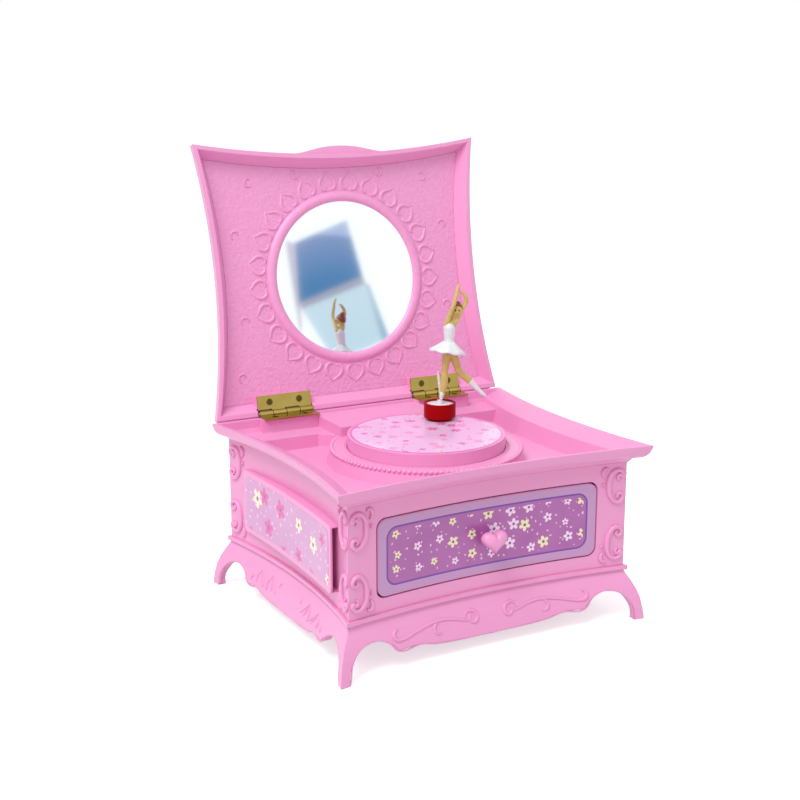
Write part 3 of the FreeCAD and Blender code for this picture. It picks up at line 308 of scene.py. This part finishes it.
def flowers(tree, flat, pitch, size, petals, spread=0.45):
    """Masks of scattered flowers and of their middles, and a random value for each."""
    cell = add(tree, "TexVoronoi", {"voronoi_dimensions": "2D"}, Vector=flat, Scale=1 / (pitch * MM),
               Randomness=spread)
    offset = add(tree, "VectorMath", minus, flat, cell.outputs["Position"])
    spot = add(tree, "SeparateXYZ", {}, offset)
    away = add(tree, "VectorMath", length, offset)
    chance = add(tree, "SeparateColor", {}, cell.outputs["Color"])
    angle = add(tree, "Math", {"operation": "ARCTAN2"}, spot.outputs["Y"], spot.outputs["X"])
    turn = add(tree, "Math", scaled, chance.outputs["Green"], most_turn, angle)
    wave = add(tree, "Math", {"operation": "COSINE"}, add(tree, "Math", times, turn, petals / 2))
    notch = notch_share * size * MM
    reach = add(tree, "Math", scaled, add(tree, "Math", size_of, wave), size * MM - notch, notch)
    share = add(tree, "Math", scaled, chance.outputs["Blue"], varied_share, least_share)
    past_petal = add(tree, "Math", minus, away, add(tree, "Math", times, reach, share))
    past_eye = add(tree, "Math", minus, away, add(tree, "Math", times, share, eye_share * size * MM))
    petal = add(tree, "MapRange", soft, past_petal, edge, -edge)
    eye = add(tree, "MapRange", soft, past_eye, edge, -edge)
    return petal, eye, chance.outputs["Red"]


def print_face(tree, place, across, up, centre):
    """The print's two runs and a flat vector, centred on a point of the frame."""
    shift = add(tree, "Mapping", {}, Vector=place, Location=[-c * MM for c in centre])
    runs = add(tree, "SeparateXYZ", {}, shift)
    flat = add(tree, "CombineXYZ", {}, runs.outputs[across], runs.outputs[up])
    return runs.outputs[across], runs.outputs[up], flat


# Drawer print: glossy paper, lilac border, purple outline and a violet field of small flowers.
drawer_print, tree, shader, place = surface("drawer_print", "#BE78B8", roughness=0.3, coat=0.3)
run, rise, flat = print_face(tree, place, "X", "Z", (0, 0, drawer_label_z))
field = rounded_box(tree, run, rise, half_width=48.5, half_height=12.1, corner=4.5)
inside = add(tree, "MapRange", soft, field, edge, -edge)
field_margin = 1.6 * MM
well_inside = add(tree, "MapRange", soft, field, edge - field_margin, -edge - field_margin)
violet = clouds(tree, flat, "#B869B2", "#9E4F9A", size=14.0, detail=2.0)
ground = add(tree, "Mix", blend, inside, "#C290C0", violet)
petal, eye, chance = flowers(tree, flat, pitch=9.0, size=2.6, petals=5)
cream_share = 0.5
pale = add(tree, "Mix", blend, add(tree, "Math", above, chance, cream_share), "#F3E9B4", "#F7D9EE")
dots, _, _ = flowers(tree, flat, pitch=4.1, size=0.55, petals=2, spread=0.9)
ground = add(tree, "Mix", blend, add(tree, "Math", times, dots, well_inside), ground, "#EBC4E4")
ground = add(tree, "Mix", blend, add(tree, "Math", times, petal, well_inside), ground, pale)
ground = add(tree, "Mix", blend, add(tree, "Math", times, eye, well_inside), ground, "#6A3FA0")
from_line = add(tree, "Math", size_of, field)
half_line = 0.4 * MM
line = add(tree, "MapRange", soft, from_line, half_line + edge, half_line - edge)
ground = add(tree, "Mix", blend, line, ground, "#6E2FA0")
tree.links.new(ground.outputs[mixed], shader.inputs["Base Color"])

# Side print: pale pink-lilac paper with soft spots, and cream and pink flowers.
side_print, tree, shader, place = surface("side_print", "#E5A6D8", roughness=0.32, coat=0.25)
_, _, flat = print_face(tree, place, "Y", "Z", (0, 1.5, 45.5))
ground = clouds(tree, flat, "#D8A0CF", "#C882BD", size=18.0)
dots, _, _ = flowers(tree, flat, pitch=5.2, size=0.9, petals=2, spread=0.8)
spot_strength = 0.7
ground = add(tree, "Mix", blend, add(tree, "Math", times, dots, spot_strength), ground, "#F3D2EE")
petal, eye, chance = flowers(tree, flat, pitch=15.0, size=4.2, petals=5, spread=0.6)
cream_share = 0.45
bloom = add(tree, "Mix", blend, add(tree, "Math", above, chance, cream_share), "#F7EBC2", "#E0479B")
ground = add(tree, "Mix", blend, petal, ground, bloom)
ground = add(tree, "Mix", blend, eye, ground, "#8C4FB0")
tree.links.new(ground.outputs[mixed], shader.inputs["Base Color"])

# Stage print: pale lilac disc with pink flowers, small dark seeds and a magenta rim.
stage_print, tree, shader, place = surface("stage_print", "#F0C9EE", roughness=0.25, coat=0.4)
_, _, flat = print_face(tree, place, "X", "Y", (0, 0, 0))
ground = clouds(tree, flat, "#F6D6F3", "#E9B9EA", size=20.0)
petal, _, chance = flowers(tree, flat, pitch=9.5, size=2.8, petals=6, spread=0.7)
light_share, bloom_strength = 0.5, 0.8
bloom = add(tree, "Mix", blend, add(tree, "Math", above, chance, light_share), "#F29BD0", "#E85FB6")
ground = add(tree, "Mix", blend, add(tree, "Math", times, petal, bloom_strength), ground, bloom)
seeds, _, _ = flowers(tree, flat, pitch=6.3, size=0.6, petals=2, spread=1.0)
away = add(tree, "VectorMath", length, flat)
band_from, band_to = 18.5 * MM, 19.5 * MM
outer_band = add(tree, "MapRange", soft, away, band_from, band_to)
ground = add(tree, "Mix", blend, add(tree, "Math", times, seeds, outer_band), ground, "#9A5F9C")
rim_from, rim_to = (stage_label_radius - 1.3) * MM, (stage_label_radius - 0.7) * MM
rim = add(tree, "MapRange", soft, away, rim_from, rim_to)
ground = add(tree, "Mix", blend, rim, ground, "#EE6FC8")
tree.links.new(ground.outputs[mixed], shader.inputs["Base Color"])

finishes = {
    "pink_plastic": pink_abs, "brass": brass, "zinc_steel": zinc, "spring_steel": spring_steel,
    "zinc_casting": casting, "nylon": nylon, "magnet": ferrite, "mirror_glass": mirror_glass,
    "red_plastic": red_styrene, "white_plastic": white_styrene, "figure_paint": skin_paint,
}
coats = {entry["node"]: finishes[entry["material_slot"]] for entry in frame["record"]["subparts"]
         if entry["material_slot"] in finishes}
coats.update({name: browned_brass for name in nodes if "hinge" in name and "screw" in name})
coats.update(lid_liner=pebble_abs, drawer_label=drawer_print, stage_label=stage_print,
             side_label_left=side_print, side_label_right=side_print)
for name, material in coats.items():
    nodes[name].data.materials.clear()
    nodes[name].data.materials.append(material)

# The record's finish for each material of the new pieces.
slots = {material.name: slot for slot, material in finishes.items()}
slots[milky_styrene.name] = "white_plastic"
slots.update({paint.name: "figure_paint" for paint in (hair_paint, dark_paint, lip_paint)})


def finished(name, bm, material, body):
    """Makes a smooth object of a bmesh drawn in millimetres and sets it on its body."""
    bmesh.ops.scale(bm, vec=(MM, MM, MM), verts=bm.verts)
    bmesh.ops.recalc_face_normals(bm, faces=bm.faces)
    mesh = bpy.data.meshes.new(name)
    bm.to_mesh(mesh)
    bm.free()
    mesh.shade_smooth()
    mesh.materials.append(material)
    piece = bpy.data.objects.new(name, mesh)
    bpy.context.scene.collection.objects.link(piece)
    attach(piece, body)
    return piece


# Points of a stroke nearer than this are one.
weld = 0.001


def strokes(lines, bevel_steps=2, steps=6):
    """Bmesh of round strokes; a line is points (a, b, c, radius) that the stroke passes through."""
    curve = bpy.data.curves.new("strokes", "CURVE")
    curve.dimensions = "3D"
    curve.bevel_depth = 1.0
    curve.bevel_resolution = bevel_steps
    curve.resolution_u = steps
    curve.use_fill_caps = True
    for line in lines:
        spline = curve.splines.new("BEZIER")
        spline.bezier_points.add(len(line) - 1)
        for knot, (a, b, c, radius) in zip(spline.bezier_points, line):
            knot.co = (a, b, c)
            knot.radius = radius
            knot.handle_left_type = knot.handle_right_type = "AUTO"
    holder = bpy.data.objects.new("strokes", curve)
    bpy.context.scene.collection.objects.link(holder)
    bpy.context.view_layer.update()
    mesh = bpy.data.meshes.new_from_object(holder.evaluated_get(bpy.context.evaluated_depsgraph_get()))
    bm = bmesh.new()
    bm.from_mesh(mesh)
    bmesh.ops.remove_doubles(bm, verts=bm.verts, dist=weld)
    bpy.data.objects.remove(holder)
    bpy.data.curves.remove(curve)
    bpy.data.meshes.remove(mesh)
    return bm


def laid(bm, put):
    """Moves each vertex of a flat drawing (run, height, relief) to its place on a wall."""
    for vert in bm.verts:
        vert.co = put(*vert.co)
    return bm


def flare(z):
    """How far the skirt stands out of the wall line at a height."""
    for (z1, f1), (z0, f0) in zip(flare_steps, flare_steps[1:]):
        if z >= z0:
            share = min(1.0, (z - z0) / (z1 - z0))
            return foot_flare * (f0 + (f1 - f0) * share)
    return foot_flare


def on_front(run, z, relief):
    """Front wall: run is along X."""
    out = flare(z)
    half = front_half + out
    return Vector((run, -front_depth - out + wall_bow * (1 - (run / half) ** 2) - relief, z))


def on_side(run, z, relief):
    """Right wall: run is along Y."""
    out = flare(z)
    y0, y1 = -front_depth - out, back_depth + out
    share = (run - y0) / (y1 - y0)
    chord = front_half + (back_half - front_half) * share + out
    return Vector((chord - wall_bow * (1 - (2 * share - 1) ** 2) + relief, run, z))


def mirrored(lines, about=0.0):
    """The same strokes mirrored in their first coordinate."""
    return [[(2 * about - a, b, c, r) for a, b, c, r in line] for line in lines]


def on_both_sides(name, lines, steps=6):
    """Lays strokes on the right wall and their mirror image on the left one."""
    for side, label in ((-1, "left"), (1, "right")):
        bm = laid(strokes(lines, steps=steps), on_side)
        bmesh.ops.scale(bm, vec=(side, 1, 1), verts=bm.verts)
        finished(name + "_" + label, bm, pink_abs, "cabinet")


# Corner scroll, drawn from the corner (run) about its own middle height: a C with two curled ends,
# and a hooked comma and a drop beside it.
scroll = [
    [(3.4, 2.6, 0.45), (4.3, 3.9, 0.7), (3.2, 5.2, 0.8), (1.7, 4.2, 0.85), (2.0, 6.2, 0.95),
     (4.4, 7.4, 1.0), (7.4, 5.4, 1.1), (8.5, 0.4, 1.15), (7.3, -4.6, 1.1), (4.4, -7.0, 1.0),
     (2.0, -5.8, 0.95), (1.7, -3.9, 0.85), (3.2, -3.0, 0.8), (4.3, -4.2, 0.65), (3.4, -5.2, 0.4)],
    [(8.8, 7.4, 0.3), (9.6, 8.4, 0.75), (11.0, 7.6, 0.95), (11.2, 5.6, 0.75), (10.2, 4.0, 0.3)],
    [(10.5, 2.2, 0.25), (11.1, 1.3, 0.65), (10.9, 0.2, 0.25)],
]
scroll_relief = 0.3
upper_mid, lower_mid = 60.4, 35.1


def corner_pair(corner, direction):
    """Upper and lower scrolls at a wall's corner; direction points into the wall."""
    return [[(corner + direction * a, middle + sense * b, scroll_relief, r) for a, b, r in line]
            for middle, sense in ((upper_mid, 1), (lower_mid, -1)) for line in scroll]


front_scrolls = laid(strokes(corner_pair(-front_half, 1) + corner_pair(front_half, -1)), on_front)
finished("front_scrolls", front_scrolls, pink_abs, "cabinet")
on_both_sides("side_scrolls", corner_pair(-front_depth, 1) + corner_pair(back_depth, -1))

# Skirt front: a vine on each half, with a curl at the middle, a side shoot and a curl at its end.
vine = [
    [(12.4, 14.4, 0, 0.25), (11.7, 16.3, 0, 0.5), (9.6, 16.9, 0, 0.7), (6.8, 15.0, 0, 0.8),
     (7.4, 12.7, 0, 0.75), (9.8, 12.6, 0, 0.6), (10.4, 14.4, 0, 0.5), (9.2, 15.0, 0, 0.4)],
    [(9.8, 12.7, 0, 0.25), (13.5, 13.8, 0, 0.5), (19.5, 15.3, 0, 0.6), (25.5, 15.8, 0, 0.65),
     (31.0, 15.1, 0, 0.6), (37.8, 13.6, 0, 0.55), (43.6, 12.4, 0, 0.6), (46.5, 12.9, 0, 0.75),
     (47.3, 14.5, 0, 0.8), (46.2, 16.2, 0, 0.6), (44.8, 16.2, 0, 0.3)],
    [(22.5, 15.8, 0, 0.2), (25.8, 15.3, 0, 0.5), (27.9, 13.6, 0, 0.7), (27.6, 11.8, 0, 0.7),
     (26.2, 10.9, 0, 0.5), (24.6, 11.1, 0, 0.25)],
]
finished("skirt_vines", laid(strokes(vine + mirrored(vine)), on_front), pink_abs, "cabinet")

# Skirt sides: pointed leaves in a zigzag, with a drop at each end.
leaf_tips = [
    ((9.0, 16.6), (10.4, 16.0), (10.6, 14.4)), ((12.5, 11.4), (15.0, 13.6), (18.6, 17.0)),
    ((18.6, 17.0), (20.8, 13.8), (20.4, 10.6)), ((16.0, 11.4), (17.6, 13.6), (18.6, 17.0)),
    ((20.4, 10.6), (24.6, 13.2), (28.4, 16.6)), ((24.0, 10.8), (26.4, 13.4), (28.4, 16.6)),
    ((28.4, 16.6), (30.6, 13.6), (30.2, 11.2)), ((33.0, 13.2), (34.6, 12.4), (34.8, 11.0)),
]
side_middle = (back_depth - front_depth) / 2
leaf_radii = (0.2, 0.55, 0.2)
leaves = [[(a + side_middle, b, 0, r) for (a, b), r in zip(leaf, leaf_radii)] for leaf in leaf_tips]
on_both_sides("skirt_leaves", leaves + mirrored(leaves, side_middle))

# Rim of the apron, half sunk into the skirt.
rim_relief, rim_radius = -0.3, 0.35


def apron_rim(half):
    """Stroke along one half of the apron's edge, from the foot over the arch to the middle."""
    foot, notch = half + foot_flare - leg_foot, half - notch_from_corner
    top = notch + arch_width
    points = [(foot, 0.4), (top + (foot - top) * 0.72, arch_top * 0.73), (top, arch_top),
              (notch + arch_width * 0.4, arch_top * 0.88), (notch, apron_height), (notch * 0.77, 8.6),
              (notch * 0.6, 7.2), (0.0, apron_middle)]
    return [[(a, b, rim_relief, rim_radius) for a, b in points]]


front_apron = apron_rim(front_half)
front_apron = laid(strokes(front_apron + mirrored(front_apron), steps=8), on_front)
finished("apron_rim_front", front_apron, pink_abs, "cabinet")
side_apron = [[(a + side_middle, b, c, r) for a, b, c, r in line]
              for line in apron_rim((front_depth + back_depth) / 2)]
on_both_sides("apron_rim", side_apron + mirrored(side_apron, side_middle), steps=8)


def stacked(bm, count, rings, shape):
    """Bridges rings; shape places a point of a ring from its number and its spot on a unit circle."""
    last = None
    for ring in rings:
        verts = bmesh.ops.create_circle(bm, segments=count, radius=1.0)["verts"]
        for i, vert in enumerate(verts):
            vert.co = shape(ring, i, vert.co)
        edges = list({e for v in verts for e in v.link_edges})
        if last:
            bmesh.ops.bridge_loops(bm, edges=last + edges)
        last = edges


# Heart knob: a puffed heart, built of rings from its back to its crown, on a round stem.
# Each ring is a share of the full heart and a depth in front of the knob's back.
crown = ((0.7, 0.0), (0.93, 0.4), (1.0, 1.3), (1.0, 2.3), (0.94, 3.4), (0.8, 4.3), (0.55, 4.95), (0.2, 5.3))
knob_points = 48
knob_lift = 0.5
knob_stretch = 0.33


def knob_point(ring, i, _):
    """Point of a heart curve."""
    share, depth = ring
    t = 2 * pi * i / knob_points
    rise = 13 * cos(t) - 5 * cos(2 * t) - 2 * cos(3 * t) - cos(4 * t)
    across = share * knob_half_width * sin(t) ** 3
    return across, knob_back_y - depth, knob_height + share * (knob_stretch * rise + knob_lift)


knob = bmesh.new()
stacked(knob, knob_points, crown, knob_point)
bmesh.ops.holes_fill(knob, edges=[e for e in knob.edges if e.is_boundary])
stem_middle = Matrix.Translation((0, (knob_wall_y + knob_back_y) / 2, knob_height))
bmesh.ops.create_cone(knob, cap_ends=True, segments=24, radius1=stem_radius, radius2=stem_radius,
                      depth=knob_wall_y - knob_back_y, matrix=stem_middle @ Matrix.Rotation(pi / 2, 4, "X"))
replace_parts(finished("heart_knob", knob, pink_abs, "drawer"), "drawer_knob")

# Stage ring: a row of beads round its shoulder and a finer row beside the disc.
# A row is a count, a radius, a height and the size of its beads.
bead_rows = ((120, ring_radius, ring_top_z - 0.3, 1.0), (180, ring_inner_radius, ring_top_z, 0.5))
beads = bmesh.new()
for count, radius, height, size in bead_rows:
    for i in range(count):
        angle = 2 * pi * i / count
        spot = Vector((radius * cos(angle), radius * sin(angle), height))
        if spot.y < platform_front or abs(spot.x) > platform_half:
            bmesh.ops.create_uvsphere(beads, u_segments=8, v_segments=5, radius=size,
                                      matrix=Matrix.Translation(spot))
finished("ring_beads", beads, pink_abs, "cabinet")


def swung(bm):
    """A lid piece turned from shut to open."""
    bmesh.ops.rotate(bm, cent=(0, pin_y, pin_z), matrix=Matrix.Rotation(lid_open, 3, "X"), verts=bm.verts)
    return bm


# Hearts round the mirror: raised outlines with their tips outwards and their lobes curled in at the ring,
# sunk a little into the liner.
heart = [[(0.0, 9.6, 0, 0.5), (1.6, 7.8, 0, 0.8), (3.6, 5.8, 0, 1.0), (4.2, 3.6, 0, 1.05),
          (3.2, 1.6, 0, 0.95), (1.6, 1.1, 0, 0.75), (0.9, 2.0, 0, 0.45)]]
heart += mirrored(heart)
heart_count = 25
heart_z = liner_z + 0.35
lines = []
for i in range(heart_count):
    angle = 2 * pi * i / heart_count
    for line in heart:
        lines.append([(a * cos(angle) + (mirror_ring + b) * sin(angle),
                       mirror_y + (mirror_ring + b) * cos(angle) - a * sin(angle), heart_z, r)
                      for a, b, _, r in line])
finished("mirror_hearts", swung(strokes(lines, bevel_steps=1, steps=4)), pink_abs, "lid")

# Small curls along the edge of the liner, each a hook at a place and with a turn.
hook = [(-1.8, 1.6, 0.2), (0.6, 2.0, 0.5), (1.9, 0.2, 0.6), (0.8, -1.6, 0.5), (-0.4, -1.0, 0.2)]
hook_places = ((46, -46, -0.4), (22, -49, 0.3), (55, -22, -1.4), (54, 18, -1.7), (58, 44, -1.2))
curls = []
for x, y, turn in hook_places:
    curls.append([(x + a * cos(turn) - b * sin(turn), y + a * sin(turn) + b * cos(turn), liner_z, r)
                  for a, b, r in hook])
finished("liner_curls", swung(strokes(curls + mirrored(curls))), pink_abs, "lid")

# Bead along the back of the lid's rim: it hangs behind the tray when the lid is open and closes the gap.
bead_y, bead_z = pin_y + 0.9, pin_z + 3.2
bead_shape = ((-74.2, 0.4), (-72.0, 1.2), (72.0, 1.2), (74.2, 0.4))
bead = [(x, bead_y, bead_z, radius) for x, radius in bead_shape]
finished("lid_back_bead", swung(strokes([bead], bevel_steps=4)), pink_abs, "lid")


def on_stage(u, w, h):
    """Point of the dancer in the frame."""
    along, across = cos(dancer_turn), sin(dancer_turn)
    return dancer_foot + Vector((u * along - w * across, u * across + w * along, h))


def limbs(*lines):
    """Bmesh of the dancer's limbs, drawn as points (u, w, h, radius)."""
    placed = [[(*on_stage(u, w, h), r) for u, w, h, r in line] for line in lines]
    return strokes(placed, bevel_steps=4, steps=8)


# Dancer: painted limbs, white bodice, skirt, shoe and stocking, hair in a bun.
standing_leg = [(0.62, 0, 9.3, 0.35), (0.62, 0, 9.8, 0.8), (1.3, 0, 12.0, 1.1), (1.9, 0, 17.5, 1.75),
                (2.2, 0, 22.4, 1.45), (2.6, 0, 26.0, 1.85), (3.4, 0, 31.0, 2.2)]
free_leg = [(5.2, 0.6, 31.2, 2.1), (7.3, 0.6, 26.2, 1.85), (9.1, 0.6, 21.5, 1.5), (12.6, 0.6, 18.6, 1.6),
            (15.8, 0.6, 15.3, 1.2), (18.6, 0.6, 12.4, 0.85), (20.0, 0.6, 11.2, 0.7)]
shoe = [(0.62, 0, 8.95, 0.3), (0.6, 0, 9.4, 0.75), (0.75, 0, 10.6, 1.0), (1.15, 0, 12.0, 1.2),
        (1.3, 0, 12.5, 1.15)]
stocking = [(13.6, 0.6, 17.7, 1.45), (14.2, 0.6, 17.0, 1.5), (15.8, 0.6, 15.3, 1.28),
            (18.4, 0.6, 12.7, 0.98), (19.4, 0.6, 11.8, 0.95), (20.6, 0.6, 10.8, 0.7),
            (21.4, 0.6, 10.05, 0.25)]
right_arm = [(5.4, 0.3, 43.0, 1.2), (6.8, 0.3, 45.2, 1.25), (9.4, 0.3, 50.6, 1.05), (11.6, 0.3, 55.0, 0.95),
             (10.9, 0.3, 57.2, 0.8), (9.3, 0.3, 58.6, 0.6), (8.4, 0.3, 58.9, 0.3)]
left_arm = [(2.6, 0.0, 43.2, 1.1), (3.2, -0.6, 45.2, 1.2), (4.6, -2.2, 49.6, 1.0), (5.9, -3.5, 53.6, 0.9),
            (6.9, -2.8, 57.6, 0.78), (7.9, -1.7, 61.6, 0.6), (8.9, -1.4, 62.6, 0.25)]
neck = [(4.6, 0.2, 44.0, 1.7), (5.6, 0.2, 46.2, 1.1), (6.4, 0.15, 48.2, 1.05), (7.1, 0.1, 49.6, 1.2)]
body = limbs(standing_leg, free_leg, right_arm, left_arm, neck)
head_spot = on_stage(7.5, 0.1, 50.5)
lean = Matrix.Rotation(dancer_turn, 4, "Z") @ Matrix.Rotation(head_lean, 4, "Y")
head_place = Matrix.Translation(head_spot) @ lean
bmesh.ops.create_uvsphere(body, u_segments=24, v_segments=16, radius=1.0,
                          matrix=head_place @ Matrix.Diagonal((*head_size, 1.0)))
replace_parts(finished("dancer_skin", body, skin_paint, "dancer"), "dancer_figure")

bodice = [(4.1, 0.2, 32.6, 2.3), (4.1, 0.2, 34.5, 2.6), (3.9, 0.2, 37.0, 2.15), (4.0, 0.2, 40.4, 2.55),
          (4.1, 0.2, 42.6, 2.7), (4.5, 0.2, 44.2, 2.1), (4.8, 0.2, 44.9, 1.3)]
finished("dancer_bodice", limbs(bodice), white_styrene, "dancer")
finished("dancer_shoes", limbs(shoe, stocking), white_styrene, "dancer")
support = [(0.5, 0.6, 8.6, 0.7), (0.4, 0.7, 11.0, 0.6), (0.0, 0.7, 15.0, 0.75), (-0.5, 0.7, 19.0, 0.8),
           (-0.9, 0.7, 22.3, 0.35)]
finished("dancer_support", limbs(support), milky_styrene, "dancer")

# Skirt: rings from the waist to a gently waving hem, given a thickness.
# Each ring is a radius, a drop below the waist and the height of its waves.
skirt_rings = ((2.2, 0.0, 0.0), (3.2, -0.9, 0.03), (4.9, -2.4, 0.1), (6.8, -3.9, 0.2), (8.5, -5.2, 0.28))
skirt_waves = 8
wave_points = 12
wave_spread = 0.04


def skirt_point(ring, i, spot):
    """Point of a waving circle."""
    radius, drop, wave = ring
    fold = wave * cos(2 * pi * i / wave_points)
    return spot * radius * (1 + wave_spread * fold) + Vector((0, 0, drop + fold))


tutu = bmesh.new()
stacked(tutu, skirt_waves * wave_points, skirt_rings, skirt_point)
waist = Matrix.Translation(on_stage(4.1, 0.2, 36.4)) @ Matrix.Rotation(dancer_turn, 4, "Z")
bmesh.ops.recalc_face_normals(tutu, faces=tutu.faces)
bmesh.ops.solidify(tutu, geom=tutu.faces[:], thickness=0.4)
tilt = Matrix.Rotation(skirt_lean, 4, "Y") @ Matrix.Rotation(skirt_tip, 4, "X")
bmesh.ops.transform(tutu, matrix=waist @ tilt, verts=tutu.verts)
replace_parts(finished("dancer_skirt", tutu, white_styrene, "dancer"), "dancer_tutu")

# Hair: a cap over the crown of the head and a bun behind it.
hair = bmesh.new()
hair_size = [size + hair_thickness for size in head_size]
bmesh.ops.create_uvsphere(hair, u_segments=24, v_segments=16, radius=1.0,
                          matrix=head_place @ Matrix.Diagonal((*hair_size, 1.0)))
cut_normal = (on_stage(0, 1, 0.9) - on_stage(0, 0, 0)).normalized()
bmesh.ops.bisect_plane(hair, geom=hair.verts[:] + hair.edges[:] + hair.faces[:], plane_no=cut_normal,
                       plane_co=on_stage(7.5, -0.6, 51.3), clear_inner=True)
bmesh.ops.holes_fill(hair, edges=[e for e in hair.edges if e.is_boundary])
bmesh.ops.create_uvsphere(hair, u_segments=16, v_segments=12, radius=bun_radius,
                          matrix=Matrix.Translation(on_stage(7.7, 1.5, 53.0)))
finished("dancer_hair", hair, hair_paint, "dancer")

# A plain doll's face: two small eyes and a mouth.
eye_size = (0.34, 0.34, 0.42)
eyes = bmesh.new()
for u in (6.75, 8.25):
    spot = Matrix.Translation(on_stage(u, -2.4, 50.7))
    bmesh.ops.create_uvsphere(eyes, u_segments=10, v_segments=8, radius=1.0,
                              matrix=spot @ Matrix.Diagonal((*eye_size, 1.0)))
finished("dancer_eyes", eyes, dark_paint, "dancer")
mouth = limbs([(7.1, -2.45, 49.3, 0.12), (7.5, -2.5, 49.18, 0.2), (7.9, -2.45, 49.3, 0.12)])
finished("dancer_mouth", mouth, lip_paint, "dancer")


def staged(name, bm, material):
    """An object of the studio, drawn in metres."""
    mesh = bpy.data.meshes.new(name)
    bm.to_mesh(mesh)
    bm.free()
    mesh.materials.append(material)
    thing = bpy.data.objects.new(name, mesh)
    bpy.context.scene.collection.objects.link(thing)
    thing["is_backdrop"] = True
    return thing


def seen(tree):
    """1 for rays from the eye and for those that gloss or glass sends on, and 0 for the rest."""
    path = add(tree, "LightPath", {})
    sent_on = add(tree, "Math", larger, path.outputs["Is Glossy Ray"], path.outputs["Is Transmission Ray"])
    return add(tree, "Math", larger, path.outputs["Is Camera Ray"], sent_on)


# White floor that keeps the shadow and glows a little to the eye and in reflections.
white_floor = bpy.data.materials.new("white_floor")
white_floor.use_nodes = True
tree = white_floor.node_tree
tree.nodes.clear()
paper = add(tree, "BsdfDiffuse", {}, Color="#EDEDED")
floor_glow = 0.6
glow = add(tree, "Emission", {}, "#FFFFFF", add(tree, "Math", times, seen(tree), floor_glow))
add(tree, "OutputMaterial", {}, add(tree, "AddShader", {}, paper, glow))
floor = bmesh.new()
floor_half = 6.0
bmesh.ops.create_grid(floor, x_segments=1, y_segments=1, size=floor_half)
staged("floor", floor, white_floor)

# The room's window and its frame, far behind the camera, seen in reflections alone.
# An edge has a left and a right end, and the cards share edges.
pane_foot, pane_head = ((546, -1188, 391), (635, -1139, 414)), ((546, -1168, 479), (619, -1127, 499))
head_foot = ((546, -1171, 468), (621, -1129, 489))
sill_foot = ((548, -1189, 381), (638, -1140, 402))
post_foot, post_head = ((544, -1202, 334), (547, -1195, 360)), ((534, -1173, 485), (545, -1169, 479))
wall_foot = ((588, -1189, 295), (656, -1151, 312))
shade_foot, shade_head = (wall_foot[1], (665, -1146, 316)), (sill_foot[1], (643, -1138, 400))
# A card has a lower and an upper colour, and a lower and an upper edge.
window_cards = {
    "window_pane": ("#4C86BA", "#8FA3CF", pane_foot, pane_head),
    "window_head": ("#3E5576", "#3E5576", head_foot, pane_head),
    "window_sill": ("#B4B0C4", "#B4B0C4", sill_foot, pane_foot),
    "window_post": ("#D6C3D6", "#DCCFE0", post_foot, post_head),
    "wall_below": ("#D3EAF8", "#DCEFFA", wall_foot, sill_foot),
    "wall_edge": ("#8FB2CF", "#B4CDE2", shade_foot, shade_head),
}
for name, (low_colour, high_colour, low_edge, high_edge) in window_cards.items():
    corners = [Vector(end) * MM for end in (*low_edge, *reversed(high_edge))]
    material = bpy.data.materials.new(name)
    material.use_nodes = True
    tree = material.node_tree
    tree.nodes.clear()
    height = add(tree, "SeparateXYZ", {}, add(tree, "TexCoord", {}).outputs["Object"]).outputs["Z"]
    share = add(tree, "MapRange", soft, height, corners[0].z, corners[2].z)
    glow = add(tree, "Emission", {}, add(tree, "Mix", blend, share, low_colour, high_colour), 1.0)
    add(tree, "OutputMaterial", {}, glow)
    sheet = bmesh.new()
    sheet.faces.new([sheet.verts.new(corner) for corner in corners])
    card = staged(name, sheet, material)
    card.visible_camera = card.visible_diffuse = card.visible_shadow = card.visible_transmission = False

# White surroundings: full white to the eye and in reflections, and dimmer as light.
world = bpy.data.worlds.new("studio")
world.use_nodes = True
tree = world.node_tree
tree.nodes.clear()
sky_light = 0.55
brightness = add(tree, "Math", scaled, seen(tree), 1.0 - sky_light, sky_light)
sky = add(tree, "Background", {}, "#FFFFFF", brightness)
add(tree, "OutputWorld", {}, sky)
bpy.context.scene.world = world


def softbox(name, spot, target, size, power):
    """A square area light that looks at a point."""
    light = bpy.data.lights.new(name, "AREA")
    light.size = size
    light.energy = power
    lamp = bpy.data.objects.new(name, light)
    lamp.location = spot
    lamp.rotation_euler = (Vector(target) - Vector(spot)).to_track_quat("-Z", "Y").to_euler()
    bpy.context.scene.collection.objects.link(lamp)


middle = (0, 0, 0.06)
softbox("key_light", (-0.75, -0.4, 1.35), middle, size=0.8, power=17)
softbox("fill_light", (0.6, -1.0, 0.7), middle, size=0.9, power=0.6)

camera_data = bpy.data.cameras.new("camera")
camera_data.sensor_width = 36.0
camera_data.lens = camera_lens
camera = bpy.data.objects.new("camera", camera_data)
camera.location = camera_spot * MM
camera.rotation_euler = (camera_aim - camera_spot).to_track_quat("-Z", "Y").to_euler()
bpy.context.scene.collection.objects.link(camera)
bpy.context.scene.camera = camera
bpy.context.scene.view_settings.view_transform = "Standard"

corners = {"cad": cad_box, "visual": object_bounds()}
